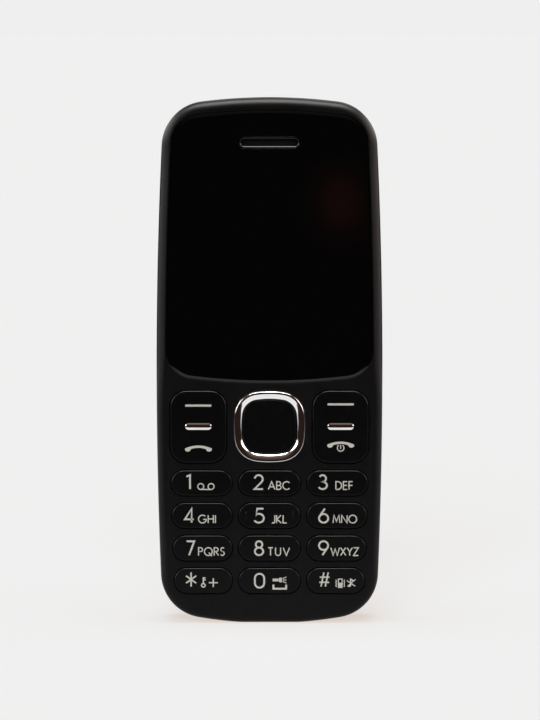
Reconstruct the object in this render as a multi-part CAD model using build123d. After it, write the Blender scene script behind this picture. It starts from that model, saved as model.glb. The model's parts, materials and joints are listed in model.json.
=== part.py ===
"""A feature phone standing upright, built piece by piece as it comes apart on a bench.

The screen faces -Y, the back cover faces +Y and +Z runs up the phone. The origin lies under the middle
of the bottom edge. All sizes are in millimetres. Depths are counted inward from the flat front face.
"""
from build123d import *
import math
import os

# Front outline: four shallow bows with rounded corners and a short flat to stand on
phone_width = 46.0
phone_height = 107.0
side_bow_radius = 1000.0
widest_height = 50.0
top_bow_radius = 112.0
bottom_bow_radius = 87.0
top_corner_radius = 9.0
bottom_corner_radius = 9.25
standing_flat_width = 12.0
overrun = 1.0

# Shells
shell_wall = 1.3
cover_wall = 1.1
front_edge_radius = 1.6
back_edge_radius = 3.1
cover_inner_bevel = 1.3
rim_steps = 3
front_rim_overlap = 0.4
tongue_height = 0.7
tongue_clearance = 0.1
skirt_height = 0.7
parting_gap = 0.06
floor_thickness = 0.8
bay_wall = 0.8
bay_rim_drop = 0.5

# Depth stack behind the window
window_thickness = 0.85
tape_thickness = 0.15
shelf_thickness = 0.8
gasket_thickness = 0.2
lcd_thickness = 2.2
board_thickness = 0.8
component_height = 1.3
component_clearance = 0.1
battery_clearance = 0.15
battery_thickness = 4.9

# Window outline
window_side_inset = 1.95
window_top_inset = 2.35
window_lower_gap = 0.75
window_bottom_bow_radius = 132.0
window_corner_radius = 5.8
window_clearance = 0.1
window_bevel_width = 0.5
window_bevel_depth = 0.13
tape_inset = 0.4

# Earpiece, seen through a slot in the window
slot_drop = 8.9
slot_width = 11.7
slot_height = 1.5
slot_rim_width = 0.3
slot_rim_depth = 0.2
mesh_thickness = 0.12
mesh_border = 0.6
receiver_width = 15.0
receiver_height = 6.0

# Display module
lcd_side_margin = 6.0
lcd_lower_gap = 2.35
lcd_top_gap = 0.3
lcd_border = 2.2
lcd_tray_wall = 0.6
lcd_panel_thickness = 1.4
gasket_width = 1.4
flex_width = 12.0
flex_thickness = 0.12
flex_reach = 1.3

# Number keys
key_row_count = 4
keypad_wall = 1.2
key_height = 5.2
middle_key_width = 12.55
column_gap = 1.345
key_side_margin = 2.75
bottom_row_height = 8.75
row_pitch = 6.68
key_proud = 0.35
key_hole_clearance = 0.15
key_flange_width = 0.45
key_flange_thickness = 0.5
key_flange_clearance = 0.05
nib_width = 0.3
nib_height = 1.6
nib_proud = 0.12
nib_inset = 1.5

# Four-way ring, centre key and rocker keys
pad_row_gap = 1.535
ring_width = 14.7
ring_corner_radius = 5.75
ring_band = 1.67
ring_proud = 0.5
ring_outer_bevel = 0.6
ring_inner_bevel = 0.45
ring_hole_clearance = 0.2
rocking_clearance = 0.35
rocking_flange_thickness = 0.4
rocking_flange_width = 0.45
carrier_band = 1.35
carrier_inset = 0.25
flange_corner_share = 0.5858
pivot_pad_width = 1.0
pivot_pad_clearance = 0.03
select_gap = 0.17
select_proud = 0.05
rocker_side_margin = 2.85
rocker_height = 14.75
rocker_corner_radius = 3.3
rocker_gap = 1.45
trim_width = 5.3
trim_height = 1.4
trim_proud = 0.12
trim_depth = 0.5
trim_bevel = 0.15

# Silicone mat and snap domes
mat_thickness = 0.3
mat_front_clearance = 0.5
mat_side_clearance = 0.4
mat_corner_radius = 3.5
mat_top_reach = 0.55
mat_rim_width = 0.7
mat_platform_inset = 0.5
mat_seat_clearance = 0.02
mat_nub_radius = 1.0
mat_nub_clearance = 0.03
dome_film_thickness = 0.1
dome_height = 0.22
dome_radius = 1.7
dome_top_share = 0.45
dome_slope_share = 0.85
dome_sides = 6
rocker_dome_offset = 4.9
ring_dome_offset = 6.9
pivot_post_radius = 0.5

# Screws and their bosses
top_boss_inset = 6.2
top_boss_drop = 6.5
bottom_boss_inset = 6.8
bottom_boss_height = 3.9
front_boss_radius = 1.6
rear_boss_radius = 1.75
boss_hole_clearance = 0.25
boss_rim_drop = 1.0
boss_sides = 8
screw_sides = 8
screw_radius = 0.7
screw_clearance = 0.08
screw_head_radius = 1.15
screw_head_height = 0.8
screw_head_sink = 0.2
screw_tip_gap = 0.5

# Main board
board_edge_gap = 0.3
board_corner_radius = 10.0

# Battery and its bay
battery_side_margin = 6.0
battery_bottom = 26.0
battery_speaker_gap = 7.5
battery_corner_radius = 2.2
battery_side_clearance = 0.3
end_cap_height = 3.2
connector_width = 11.0
connector_depth = 2.4
connector_height = 2.6
contact_width = 1.0
contact_pitch = 3.2
contact_thickness = 0.25
contact_reach = 0.22
contact_depth_span = 1.6

# Card holders and shield cans on the back of the board
sim_width = 15.4
sim_height = 17.5
sim_column_gap = 0.8
sim_top_drop = 2.5
sim_window_height = 26.0
card_height = 14.0
card_width = 12.0
card_sim_gap = 5.5
card_plate = 0.2
card_side_wall = 0.4
card_slot_depth = 0.85
can_wall = 0.2
can_width = 15.0
can_height = 11.0
can_drop = 24.5
can_gap = 2.0

# Loudspeaker behind the slots of the cover
speaker_width = 15.0
speaker_height = 11.0
speaker_centre_x = 9.5
speaker_drop = 15.0
speaker_thickness = 3.4
speaker_corner_radius = 2.0
speaker_gasket_width = 1.0
speaker_gasket_clearance = 0.2
speaker_slot_count = 4
speaker_slot_length = 7.0
speaker_slot_width = 0.9
speaker_slot_pitch = 1.9
speaker_mesh_thickness = 0.15
speaker_mesh_border = 0.9

# Vibration motor and its eccentric weight
motor_radius = 2.0
motor_length = 8.5
motor_left = -17.0
motor_drop = 16.0
motor_seat_clearance = 0.05
motor_cradle_height = 1.6
motor_cradle_thickness = 0.8
motor_cradle_clearance = 0.05
shaft_radius = 0.35
shaft_clearance = 0.05
shaft_engagement = 2.0
shaft_gap = 0.5
weight_radius = 1.85
weight_length = 3.0
weight_hub_radius = 0.75

# Torch on the top edge
torch_width = 5.0
torch_depth = 2.5
torch_clearance = 0.05
torch_flange = 0.45
torch_flange_thickness = 0.6
torch_led_width = 3.0
torch_led_height = 1.6
torch_led_gap = 0.3
torch_setback = 0.1

# Micro USB socket in the middle of the bottom edge
usb_width = 7.6
usb_depth = 2.6
usb_length = 5.4
usb_wall = 0.25
usb_corner_chamfer = 0.9
usb_mouth_setback = 0.3
usb_opening_clearance = 0.3
usb_tongue_width = 4.4
usb_tongue_depth = 0.6
usb_tongue_offset = 0.25
usb_back_length = 1.4
usb_tongue_setback = 0.8

# Headphone jack beside it
jack_outward_shift = 0.225
jack_bore_radius = 1.8
jack_nose_radius = 2.2
jack_nose_clearance = 0.1
jack_nose_length = 2.2
jack_body_width = 6.0
jack_body_depth = 5.0
jack_body_length = 11.5
jack_bore_length = 12.6
jack_axis_depth = 2.4
jack_setback = 0.3

# Microphone
microphone_width = 3.8
microphone_height = 2.6
microphone_thickness = 1.1
microphone_wall_gap = 0.2
microphone_hole_radius = 0.5

# Antenna
antenna_left = -19.0
antenna_right = 4.6
antenna_bottom = 7.0
antenna_top = 22.5
antenna_depth = 4.4
antenna_wall = 0.9
antenna_strip_thickness = 0.15
antenna_strip_inset = 1.2
antenna_slot_width = 1.6
antenna_slot_share = 0.7

# Fingernail notch in the cover
notch_x = -9.5
notch_width = 9.0
notch_radius = 12.0
notch_bite = 0.9
notch_depth = 1.1

# Depths from the front face, worked out from the stack
shelf_front = window_thickness + tape_thickness
shelf_back = shelf_front + shelf_thickness
lcd_front = shelf_back + gasket_thickness
board_front = lcd_front + lcd_thickness
board_back = board_front + board_thickness
component_back = board_back + component_height
floor_front = component_back + component_clearance
floor_back = floor_front + floor_thickness
battery_front = floor_back + battery_clearance
battery_back = battery_front + battery_thickness
cover_inside = battery_back + battery_clearance
body_depth = cover_inside + cover_wall
front_split = board_front + front_rim_overlap
cover_split = board_back + jack_body_depth
tongue_inset = shell_wall / 2
boss_top = cover_split - boss_rim_drop

key_flange_front = keypad_wall + key_flange_clearance
key_flange_back = key_flange_front + key_flange_thickness
rocking_flange_front = keypad_wall + rocking_clearance
rocking_flange_back = rocking_flange_front + rocking_flange_thickness
carrier_front = rocking_flange_back + rocking_clearance
carrier_back = carrier_front + rocking_flange_thickness
mat_front = carrier_back + mat_front_clearance
mat_back = mat_front + mat_thickness
film_front = board_front - dome_film_thickness
dome_top = film_front - dome_height

screw_tip_depth = shelf_back + screw_tip_gap
screw_seat_depth = boss_top - screw_head_sink - screw_head_height
microphone_depth = board_front - microphone_thickness / 2
torch_centre_depth = board_back + component_clearance + torch_flange + torch_depth / 2
jack_centre_depth = board_back + jack_axis_depth
usb_centre_depth = board_back + usb_depth / 2
connector_front = floor_back + component_clearance
speaker_back = floor_back + speaker_thickness
motor_depth = floor_back + motor_radius + motor_seat_clearance
card_slot_back = component_back - card_plate
card_slot_front = card_slot_back - card_slot_depth

# Places worked out from the outline
front_y = ring_proud / 2 - body_depth / 2
flat_sag = bottom_bow_radius - math.sqrt(bottom_bow_radius**2 - (standing_flat_width / 2) ** 2)
key_rows = [bottom_row_height + row_pitch * row for row in range(key_row_count)]
columns = (-1, 0, 1)
sides = (-1, 1)
top_row_edge = key_rows[-1] + key_height / 2
pad_centre_height = top_row_edge + pad_row_gap + rocker_height / 2
rocker_inner_x = ring_width / 2 + rocker_gap
rocker_width = phone_width / 2 - rocker_side_margin - rocker_inner_x
rocker_centre_x = rocker_inner_x + rocker_width / 2
rocking_flange_half = ring_width / 2 + rocking_flange_width
keypad_zone_top = pad_centre_height + rocking_flange_half + rocking_clearance
window_bottom = keypad_zone_top + window_lower_gap
mat_bottom = bottom_row_height - key_height / 2 - key_flange_width - key_flange_clearance
slot_height_above_base = phone_height - slot_drop
lcd_width = phone_width - 2 * lcd_side_margin
lcd_top = slot_height_above_base - receiver_height / 2 - lcd_top_gap
lcd_height = lcd_top - keypad_zone_top - lcd_lower_gap
lcd_centre_height = lcd_top - lcd_height / 2
speaker_centre_height = phone_height - speaker_drop
motor_height_above_base = phone_height - motor_drop
can_bottom = phone_height - can_drop
battery_width = phone_width - 2 * battery_side_margin
battery_top = speaker_centre_height - speaker_height / 2 - battery_speaker_gap
battery_height = battery_top - battery_bottom
sim_bottom = battery_top - sim_top_drop - sim_window_height
card_bottom = sim_bottom - card_sim_gap - card_height
usb_opening_half = usb_width / 2 + usb_opening_clearance
bottom_boss_side = phone_width / 2 - bottom_boss_inset - rear_boss_radius
jack_centre_x = (usb_opening_half + bottom_boss_side) / 2 + jack_outward_shift
microphone_x = -jack_centre_x
bay_half_width = battery_width / 2 + battery_side_clearance
bay_bottom = battery_bottom - battery_side_clearance
bay_top = battery_top + battery_side_clearance
ring_opening = ring_width - 2 * ring_band
ring_opening_radius = ring_corner_radius - ring_band
select_width = ring_opening - 2 * select_gap
select_radius = ring_opening_radius - select_gap
lens_flange_top = phone_height - shell_wall
microphone_bottom = shell_wall + flat_sag + microphone_wall_gap + microphone_hole_radius


def depth_y(depth):
    """Y of a depth behind the front face."""
    return front_y + depth


def slab(shape, near, far):
    """Solid of a front-view outline between two depths."""
    back = Plane(origin=(0, depth_y(far), 0), x_dir=(1, 0, 0), z_dir=(0, -1, 0))
    return extrude(back * shape, amount=far - near)


def post(x, height, radius, near, far):
    """Round post that runs front to back."""
    return slab(Pos(x, height) * Circle(radius), near, far)


def upright(shape, low, high):
    """Solid of a top-view outline between two heights."""
    return extrude(Pos(0, 0, low) * shape, amount=high - low)


def peg(x, height, radius, near, far, sides):
    """Faceted post that runs front to back."""
    return slab(Pos(x, height) * RegularPolygon(radius, sides, major_radius=False), near, far)


def round_over(solid, end, radius):
    """Round the rim of a solid's front (0) or back (-1) face in flat steps along an arc."""
    inset = 0
    for step in range(rim_steps):
        low = math.pi / 2 * step / rim_steps
        high = math.pi / 2 * (step + 1) / rim_steps
        start = (radius * (1 - math.cos(low)), radius * (1 - math.sin(low)))
        stop = (radius * (1 - math.cos(high)), radius * (1 - math.sin(high)))
        reach = start[0] + (stop[0] - start[0]) * start[1] / (start[1] - stop[1])
        face = solid.faces().sort_by(Axis.Y)[end]
        leg = math.hypot(start[0] - inset, start[1])
        solid = chamfer(face.edges(), reach - inset, leg, reference=face)
        inset = reach
    return solid


def motor_bar(radius, left, right):
    """Round bar from left to right on the vibration motor's axis."""
    origin = (left, depth_y(motor_depth), motor_height_above_base)
    face = Plane(origin=origin, x_dir=(0, 1, 0), z_dir=(1, 0, 0)) * Circle(radius)
    return extrude(face, amount=right - left)


def bowed_outline(side_inset, top, top_radius, bottom, bottom_radius, top_corner, bottom_corner):
    """Closed outline of four shallow bows with rounded corners."""
    side_radius = side_bow_radius - side_inset
    side_reach = side_bow_radius - phone_width / 2
    form = Pos(side_reach, widest_height) * Circle(side_radius)
    form = form & Pos(-side_reach, widest_height) * Circle(side_radius)
    form = form & Pos(0, top - top_radius) * Circle(top_radius)
    form = form & Pos(0, bottom + bottom_radius) * Circle(bottom_radius)
    form = fillet(form.vertices().sort_by(Axis.Y)[:2], bottom_corner)
    return fillet(form.vertices().sort_by(Axis.Y)[-2:], top_corner)


def body_outline(inset=0):
    """Outline of the phone from the front, drawn in evenly by an inset."""
    form = bowed_outline(
        inset,
        phone_height - inset,
        top_bow_radius - inset,
        inset - flat_sag,
        bottom_bow_radius - inset,
        top_corner_radius - inset,
        bottom_corner_radius - inset,
    )
    lower = Pos(0, inset) * Rectangle(
        phone_width + overrun, phone_height + overrun, align=(Align.CENTER, Align.MIN)
    )
    return form & lower


def window_outline(inset=0):
    """Outline of the display window, drawn in evenly by an inset."""
    return bowed_outline(
        window_side_inset + inset,
        phone_height - window_top_inset - inset,
        top_bow_radius - window_top_inset - inset,
        window_bottom + inset,
        window_bottom_bow_radius - inset,
        window_corner_radius - inset,
        window_corner_radius - inset,
    )


def half_width_at(height):
    """Half the width of the phone at a height, off the side bow."""
    rise = height - widest_height
    return phone_width / 2 - side_bow_radius + math.sqrt(side_bow_radius**2 - rise**2)


def bottom_edge(x):
    """Height of the bottom bow's edge at a distance from the middle."""
    return bottom_bow_radius - math.sqrt(bottom_bow_radius**2 - x**2) - flat_sag


def top_edge(x):
    """Height of the top bow's edge at a distance from the middle."""
    return phone_height - top_bow_radius + math.sqrt(top_bow_radius**2 - x**2)


def jack_mouth():
    """Height of the headphone jack's mouth, just inside the bottom bow."""
    return bottom_edge(jack_centre_x) + jack_setback


def key_place(row, column):
    """Centre and width of a number key; the outer columns follow the sides of the phone."""
    height = key_rows[row]
    if column == 0:
        return 0, height, middle_key_width
    inner = middle_key_width / 2 + column_gap
    outer = half_width_at(height) - key_side_margin
    return column * (inner + outer) / 2, height, outer - inner


def key_outline(row, column, grow=0):
    """Outline of a number key, grown for its hole or flange."""
    x, height, width = key_place(row, column)
    return Pos(x, height) * SlotOverall(width + 2 * grow, key_height + 2 * grow)


def key_plate(row, column, grow):
    """Rectangular outline over a number key, for its flange or its seat on the mat."""
    x, height, width = key_place(row, column)
    return cut_corner_plate(x, height, width + 2 * grow, key_height + 2 * grow, key_height / 2)


def rocker_plate(side, grow):
    """Outline with cut corners over a rocker, for its flange or its seat on the mat."""
    return cut_corner_plate(
        side * rocker_centre_x,
        pad_centre_height,
        rocker_width + 2 * grow,
        rocker_height + 2 * grow,
        rocker_corner_radius,
    )


def rocker_outline(side, grow=0):
    """Outline of a rocker key, grown for its hole or flange."""
    shape = RectangleRounded(rocker_width + 2 * grow, rocker_height + 2 * grow, rocker_corner_radius + grow)
    return Pos(side * rocker_centre_x, pad_centre_height) * shape


def pad_outline(width, corner):
    """Rounded square about the middle of the ring."""
    return Pos(0, pad_centre_height) * RectangleRounded(width, width, corner)


def cut_corner_plate(x, centre, width, height, corner):
    """Plate outline with its corners cut off where a rounded corner would run."""
    form = Rectangle(width, height)
    return Pos(x, centre) * chamfer(form.vertices(), corner * flange_corner_share)


def boss_places():
    """Centres of the four screw bosses."""
    top = phone_height - top_boss_drop
    places = []
    for side in sides:
        places.append((side * (half_width_at(top) - top_boss_inset + shell_wall), top))
        places.append((side * (phone_width / 2 - bottom_boss_inset), bottom_boss_height))
    return places


def mat_region(inset=0, reach=0):
    """Front-view outline of the keypad mat, straight-edged with its lower corners cut."""
    low = mat_bottom + inset
    high = keypad_zone_top + mat_top_reach + reach
    width = 2 * (half_width_at(mat_bottom) - shell_wall - mat_side_clearance - inset)
    form = Pos(0, low) * Rectangle(width, high - low, align=(Align.CENTER, Align.MIN))
    corners = form.vertices().sort_by(Axis.Y)[:2]
    return chamfer(corners, mat_corner_radius * flange_corner_share)


def dome_places():
    """Centres of all snap domes: number keys, ring, centre and rockers."""
    places = [key_place(row, column)[:2] for row in range(key_row_count) for column in columns]
    places.append((0, pad_centre_height))
    for side in sides:
        places.append((side * ring_dome_offset, pad_centre_height))
        places.append((0, pad_centre_height + side * ring_dome_offset))
        for end in sides:
            places.append((side * rocker_centre_x, pad_centre_height + end * rocker_dome_offset))
    return places


def make_front_housing():
    """Moulded front shell with the window recess, key openings, bosses and rabbet."""
    shell = slab(body_outline(), 0, front_split)
    shell = round_over(shell, 0, front_edge_radius)
    shell -= slab(body_outline(shell_wall), shelf_back, front_split + overrun)
    zone = Pos(0, keypad_zone_top) * Rectangle(
        phone_width, keypad_zone_top, align=(Align.CENTER, Align.MAX)
    )
    shell -= slab(body_outline(shell_wall) & zone, keypad_wall, shelf_back + overrun)
    for x, height in boss_places():
        boss = peg(x, height, front_boss_radius, keypad_wall, front_split, boss_sides)
        shell += boss & slab(body_outline(tongue_inset), 0, front_split)
    rabbet = body_outline(tongue_inset) - body_outline(shell_wall + tongue_clearance)
    shell -= slab(rabbet, front_split - tongue_height, front_split + overrun)
    shell -= slab(window_outline(-window_clearance), -overrun, shelf_front)
    aperture = Rectangle(lcd_width - 2 * lcd_border, lcd_height - 2 * lcd_border)
    shell -= slab(Pos(0, lcd_centre_height) * aperture, 0, shelf_back + overrun)
    slot = SlotOverall(slot_width, slot_height)
    shell -= slab(Pos(0, slot_height_above_base) * slot, 0, shelf_back + overrun)
    for row in range(key_row_count):
        for column in columns:
            shell -= slab(key_outline(row, column, key_hole_clearance), -overrun, keypad_wall + overrun)
    for side in sides:
        shell -= slab(rocker_outline(side, ring_hole_clearance), -overrun, keypad_wall + overrun)
    ring_hole = pad_outline(ring_width + 2 * ring_hole_clearance, ring_corner_radius + ring_hole_clearance)
    shell -= slab(ring_hole, -overrun, keypad_wall + overrun)
    for x, height in boss_places():
        pilot = screw_radius + screw_clearance
        shell -= peg(x, height, pilot, screw_tip_depth - screw_clearance, front_split + overrun, screw_sides)
    hole = Pos(microphone_x, depth_y(microphone_depth)) * Circle(microphone_hole_radius)
    shell -= upright(hole, -overrun, microphone_bottom)
    return shell


def torch_outline(grow=0):
    """Top-view outline of the torch lens."""
    shape = SlotOverall(torch_width + 2 * grow, torch_depth + 2 * grow)
    return Pos(0, depth_y(torch_centre_depth)) * shape


def make_rear_housing():
    """Moulded rear chassis: band, floor, battery bay, bosses, cradle, ports and tongue."""
    shell = slab(body_outline(), front_split, cover_split)
    tongue = body_outline(tongue_inset + tongue_clearance) - body_outline(shell_wall)
    shell += slab(tongue, front_split - tongue_height + tongue_clearance, front_split)
    shell -= slab(body_outline(shell_wall), front_split - overrun, floor_front)
    shell -= slab(body_outline(shell_wall), floor_back, cover_split + overrun)
    shell -= slab(body_outline(tongue_inset), cover_split - skirt_height - tongue_clearance, cover_split + overrun)
    shell += make_bay_walls()
    for x, height in boss_places():
        boss = peg(x, height, rear_boss_radius, front_split, boss_top, boss_sides)
        shell += boss & slab(body_outline(tongue_inset), front_split, cover_split)
    shell += make_motor_cradle()
    for x, height in boss_places():
        shell -= peg(x, height, screw_radius + screw_clearance, 0, cover_split, screw_sides)
        head = screw_head_radius + screw_clearance
        shell -= peg(x, height, head, screw_seat_depth, cover_split, screw_sides)
    return cut_ports(shell)


def make_bay_walls():
    """Wall round the battery, a little lower than the band."""
    height = bay_top - bay_bottom
    inner = Rectangle(2 * bay_half_width, height)
    outer = Rectangle(2 * (bay_half_width + bay_wall), height + 2 * bay_wall)
    ring = Pos(0, (bay_top + bay_bottom) / 2) * (outer - inner)
    return slab(ring, floor_back, cover_split - skirt_height - bay_rim_drop)


def make_motor_cradle():
    """Two ribs on the floor that hold the vibration motor."""
    low = motor_height_above_base - motor_radius - motor_cradle_clearance - motor_cradle_thickness
    high = motor_height_above_base + motor_radius + motor_cradle_clearance
    ribs = None
    for bottom in (low, high):
        rib = Pos(motor_left + motor_length / 2, bottom) * Rectangle(
            motor_length, motor_cradle_thickness, align=(Align.CENTER, Align.MIN)
        )
        solid = slab(rib, floor_back, floor_back + motor_cradle_height)
        ribs = solid if ribs is None else ribs + solid
    return ribs


def cut_ports(shell):
    """Openings for the socket, the jack, the torch, the cards and the contacts."""
    usb = Pos(0, depth_y(usb_centre_depth)) * Rectangle(
        usb_width + 2 * usb_opening_clearance, usb_depth + 2 * usb_opening_clearance
    )
    shell -= upright(usb, -overrun, usb_mouth_setback + usb_length + usb_opening_clearance)
    nose = Pos(jack_centre_x, depth_y(jack_centre_depth)) * Circle(jack_nose_radius + jack_nose_clearance)
    shell -= upright(nose, -overrun, jack_mouth() + jack_nose_length + jack_nose_clearance)
    jack_top = jack_mouth() + jack_nose_length + jack_body_length + component_clearance
    pocket = Pos(jack_centre_x, jack_mouth() + jack_nose_length - jack_nose_clearance) * Rectangle(
        jack_body_width + 2 * component_clearance,
        jack_top - jack_mouth() - jack_nose_length + jack_nose_clearance,
        align=(Align.CENTER, Align.MIN),
    )
    shell -= slab(pocket, floor_front - overrun, floor_back + overrun)
    shell -= upright(torch_outline(torch_clearance), lens_flange_top, phone_height + overrun)
    flange_space = torch_outline(torch_flange + torch_clearance)
    shell -= upright(flange_space, lens_flange_top - torch_flange_thickness, lens_flange_top)
    led = Pos(0, lens_flange_top - torch_flange_thickness) * Rectangle(
        torch_width + 2 * torch_flange, torch_led_height + torch_flange, align=(Align.CENTER, Align.MAX)
    )
    shell -= slab(led, floor_front - overrun, floor_back)
    for side in sides:
        window = Pos(side * (sim_width + sim_column_gap) / 2, sim_bottom) * Rectangle(
            sim_width, sim_window_height, align=(Align.CENTER, Align.MIN)
        )
        shell -= slab(window, floor_front - overrun, floor_back)
    card = Pos(0, card_bottom) * Rectangle(card_width, card_height, align=(Align.CENTER, Align.MIN))
    shell -= slab(card, floor_front - overrun, floor_back)
    block = Pos(0, bay_top) * Rectangle(
        connector_width + 2 * component_clearance,
        bay_wall + overrun,
        align=(Align.CENTER, Align.MIN),
    )
    shell -= slab(block & Pos(0, bay_top) * Rectangle(phone_width, 2 * bay_wall), floor_back, cover_split)
    return shell


def make_battery_cover():
    """Snap-on back shell with a skirt, loudspeaker slots and a fingernail notch."""
    rim = cover_split + parting_gap
    shell = slab(body_outline(), rim, body_depth)
    shell = round_over(shell, -1, back_edge_radius)
    hollow = slab(body_outline(shell_wall), rim - overrun, cover_inside)
    hollow = chamfer(hollow.faces().sort_by(Axis.Y)[-1].edges(), cover_inner_bevel)
    shell -= hollow
    skirt = body_outline(tongue_inset + tongue_clearance) - body_outline(shell_wall)
    shell += slab(skirt, cover_split - skirt_height, rim)
    nose_space = Pos(jack_centre_x, 0) * Rectangle(
        2 * (jack_nose_radius + jack_nose_clearance), 2 * (jack_mouth() + jack_nose_length)
    )
    shell -= slab(nose_space, 0, rim)
    start = speaker_centre_height - speaker_slot_pitch * (speaker_slot_count - 1) / 2
    for index in range(speaker_slot_count):
        slot = Rectangle(speaker_slot_length, speaker_slot_width)
        height = start + index * speaker_slot_pitch
        shell -= slab(Pos(speaker_centre_x, height) * slot, cover_inside - overrun, body_depth + overrun)
    notch = Pos(notch_x, notch_bite - notch_radius - flat_sag) * Circle(notch_radius)
    shell -= slab(notch & Pos(notch_x, 0) * Rectangle(notch_width, notch_radius), rim, rim + notch_depth)
    return shell


def make_display_window():
    """Flat window with a bevelled edge and the earpiece slot in a shallow rim."""
    pane = slab(window_outline(), 0, window_thickness)
    face = pane.faces().sort_by(Axis.Y)[0]
    pane = chamfer(face.edges(), window_bevel_width, window_bevel_depth, reference=face)
    slot = SlotOverall(slot_width, slot_height)
    rim = SlotOverall(slot_width + 2 * slot_rim_width, slot_height + 2 * slot_rim_width)
    pane -= slab(Pos(0, slot_height_above_base) * slot, -overrun, window_thickness + overrun)
    pane -= slab(Pos(0, slot_height_above_base) * rim, -overrun, slot_rim_depth)
    return pane


def mesh_outline(grow=0):
    """Outline of the earpiece mesh."""
    width = slot_width + 2 * (mesh_border + grow)
    return Pos(0, slot_height_above_base) * SlotOverall(width, slot_height + 2 * (mesh_border + grow))


def make_window_tape():
    """Adhesive frame behind the window."""
    high = slot_height_above_base - slot_height / 2 - mesh_border - window_clearance
    low = window_bottom + window_corner_radius - tape_inset
    width = 2 * (half_width_at(high) - window_side_inset - tape_inset)
    frame = Pos(0, (low + high) / 2) * Rectangle(width, high - low)
    opening = Rectangle(lcd_width - 2 * lcd_border, lcd_height - 2 * lcd_border)
    frame = frame - Pos(0, lcd_centre_height) * opening
    return slab(frame, window_thickness, shelf_front)


def make_earpiece_mesh():
    """Dust mesh that closes the slot from behind."""
    return slab(mesh_outline(), window_thickness, window_thickness + mesh_thickness)


def make_earpiece():
    """Receiver capsule under the slot."""
    shape = Rectangle(receiver_width, receiver_height)
    capsule = slab(Pos(0, slot_height_above_base) * shape, shelf_back, board_front)
    sound = Pos(0, slot_height_above_base) * Rectangle(slot_width - slot_height, slot_height)
    return capsule - slab(sound, shelf_back - overrun, lcd_front)


def make_lcd_frame():
    """Backlight tray that carries the panel."""
    place = Pos(0, lcd_centre_height)
    outer = place * Rectangle(lcd_width, lcd_height)
    inner = place * Rectangle(lcd_width - 2 * lcd_tray_wall, lcd_height - 2 * lcd_tray_wall)
    tray = slab(outer, lcd_front, board_front)
    return tray - slab(inner, lcd_front - overrun, lcd_front + lcd_panel_thickness)


def make_lcd_panel():
    """Display panel, seated in the tray."""
    shape = Rectangle(lcd_width - 2 * lcd_tray_wall, lcd_height - 2 * lcd_tray_wall)
    return slab(Pos(0, lcd_centre_height) * shape, lcd_front, lcd_front + lcd_panel_thickness)


def make_lcd_gasket():
    """Foam frame that keeps dust out between the shelf and the panel."""
    width = lcd_width - 2 * lcd_border
    height = lcd_height - 2 * lcd_border
    outer = Rectangle(width + 2 * gasket_width, height + 2 * gasket_width)
    ring = Pos(0, lcd_centre_height) * (outer - Rectangle(width, height))
    return slab(ring, shelf_back, lcd_front)


def make_display_flex():
    """Flex cable that folds from the foot of the tray down onto the board."""
    top = lcd_centre_height - lcd_height / 2
    fold = Pos(0, top) * Rectangle(flex_width, flex_thickness, align=(Align.CENTER, Align.MAX))
    tail = Pos(0, top) * Rectangle(flex_width, flex_reach, align=(Align.CENTER, Align.MAX))
    upper = slab(fold, lcd_front + lcd_panel_thickness, board_front)
    return upper + slab(tail, board_front - flex_thickness, board_front)


def key_solid(outline, flange, front, flange_front, flange_back):
    """Key cap with a retaining flange behind the wall."""
    return slab(outline, front, flange_front) + slab(flange, flange_front, flange_back)


def make_number_key(row, column):
    """One flanged number key."""
    cap = key_solid(
        key_outline(row, column),
        key_plate(row, column, key_flange_width),
        -key_proud,
        key_flange_front,
        key_flange_back,
    )
    if (row, column) == (2, 0):
        x, height, width = key_place(row, column)
        for side in sides:
            nib = Pos(x + side * (width / 2 - nib_inset), height) * Rectangle(nib_width, nib_height)
            cap += slab(nib, -key_proud - nib_proud, -key_proud)
    return cap


def make_rocker_key(side):
    """Soft-key and call rocker with the pocket for its bar."""
    cap = key_solid(
        rocker_outline(side),
        rocker_plate(side, rocking_flange_width),
        -key_proud,
        rocking_flange_front,
        rocking_flange_back,
    )
    return cap - slab(trim_outline(side), -key_proud - overrun, trim_depth - key_proud)


def trim_outline(side):
    """Outline of the raised bar in the middle of a rocker."""
    return Pos(side * rocker_centre_x, pad_centre_height) * SlotOverall(trim_width, trim_height)


def make_rocker_trim(side):
    """Plated bar that stands a little proud of the rocker."""
    bar = slab(trim_outline(side), -key_proud - trim_proud, trim_depth - key_proud)
    return chamfer(bar.faces().sort_by(Axis.Y)[0].edges(), trim_bevel)


def make_nav_ring():
    """Four-way ring: crowned band with a flange under the housing wall."""
    outer = pad_outline(ring_width, ring_corner_radius)
    band = slab(outer, -ring_proud, rocking_flange_back)
    band = chamfer(band.faces().sort_by(Axis.Y)[0].edges(), ring_outer_bevel)
    flange_width = ring_width + 2 * rocking_flange_width
    flange_corner = ring_corner_radius + rocking_flange_width
    flange = cut_corner_plate(0, pad_centre_height, flange_width, flange_width, flange_corner)
    band += slab(flange, rocking_flange_front, rocking_flange_back)
    band -= slab(pad_outline(ring_opening, ring_opening_radius), -ring_proud - overrun, carrier_back)
    inner = band.faces().sort_by(Axis.Y)[0].inner_wires()[0].edges()
    return chamfer(inner, ring_inner_bevel)


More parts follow.
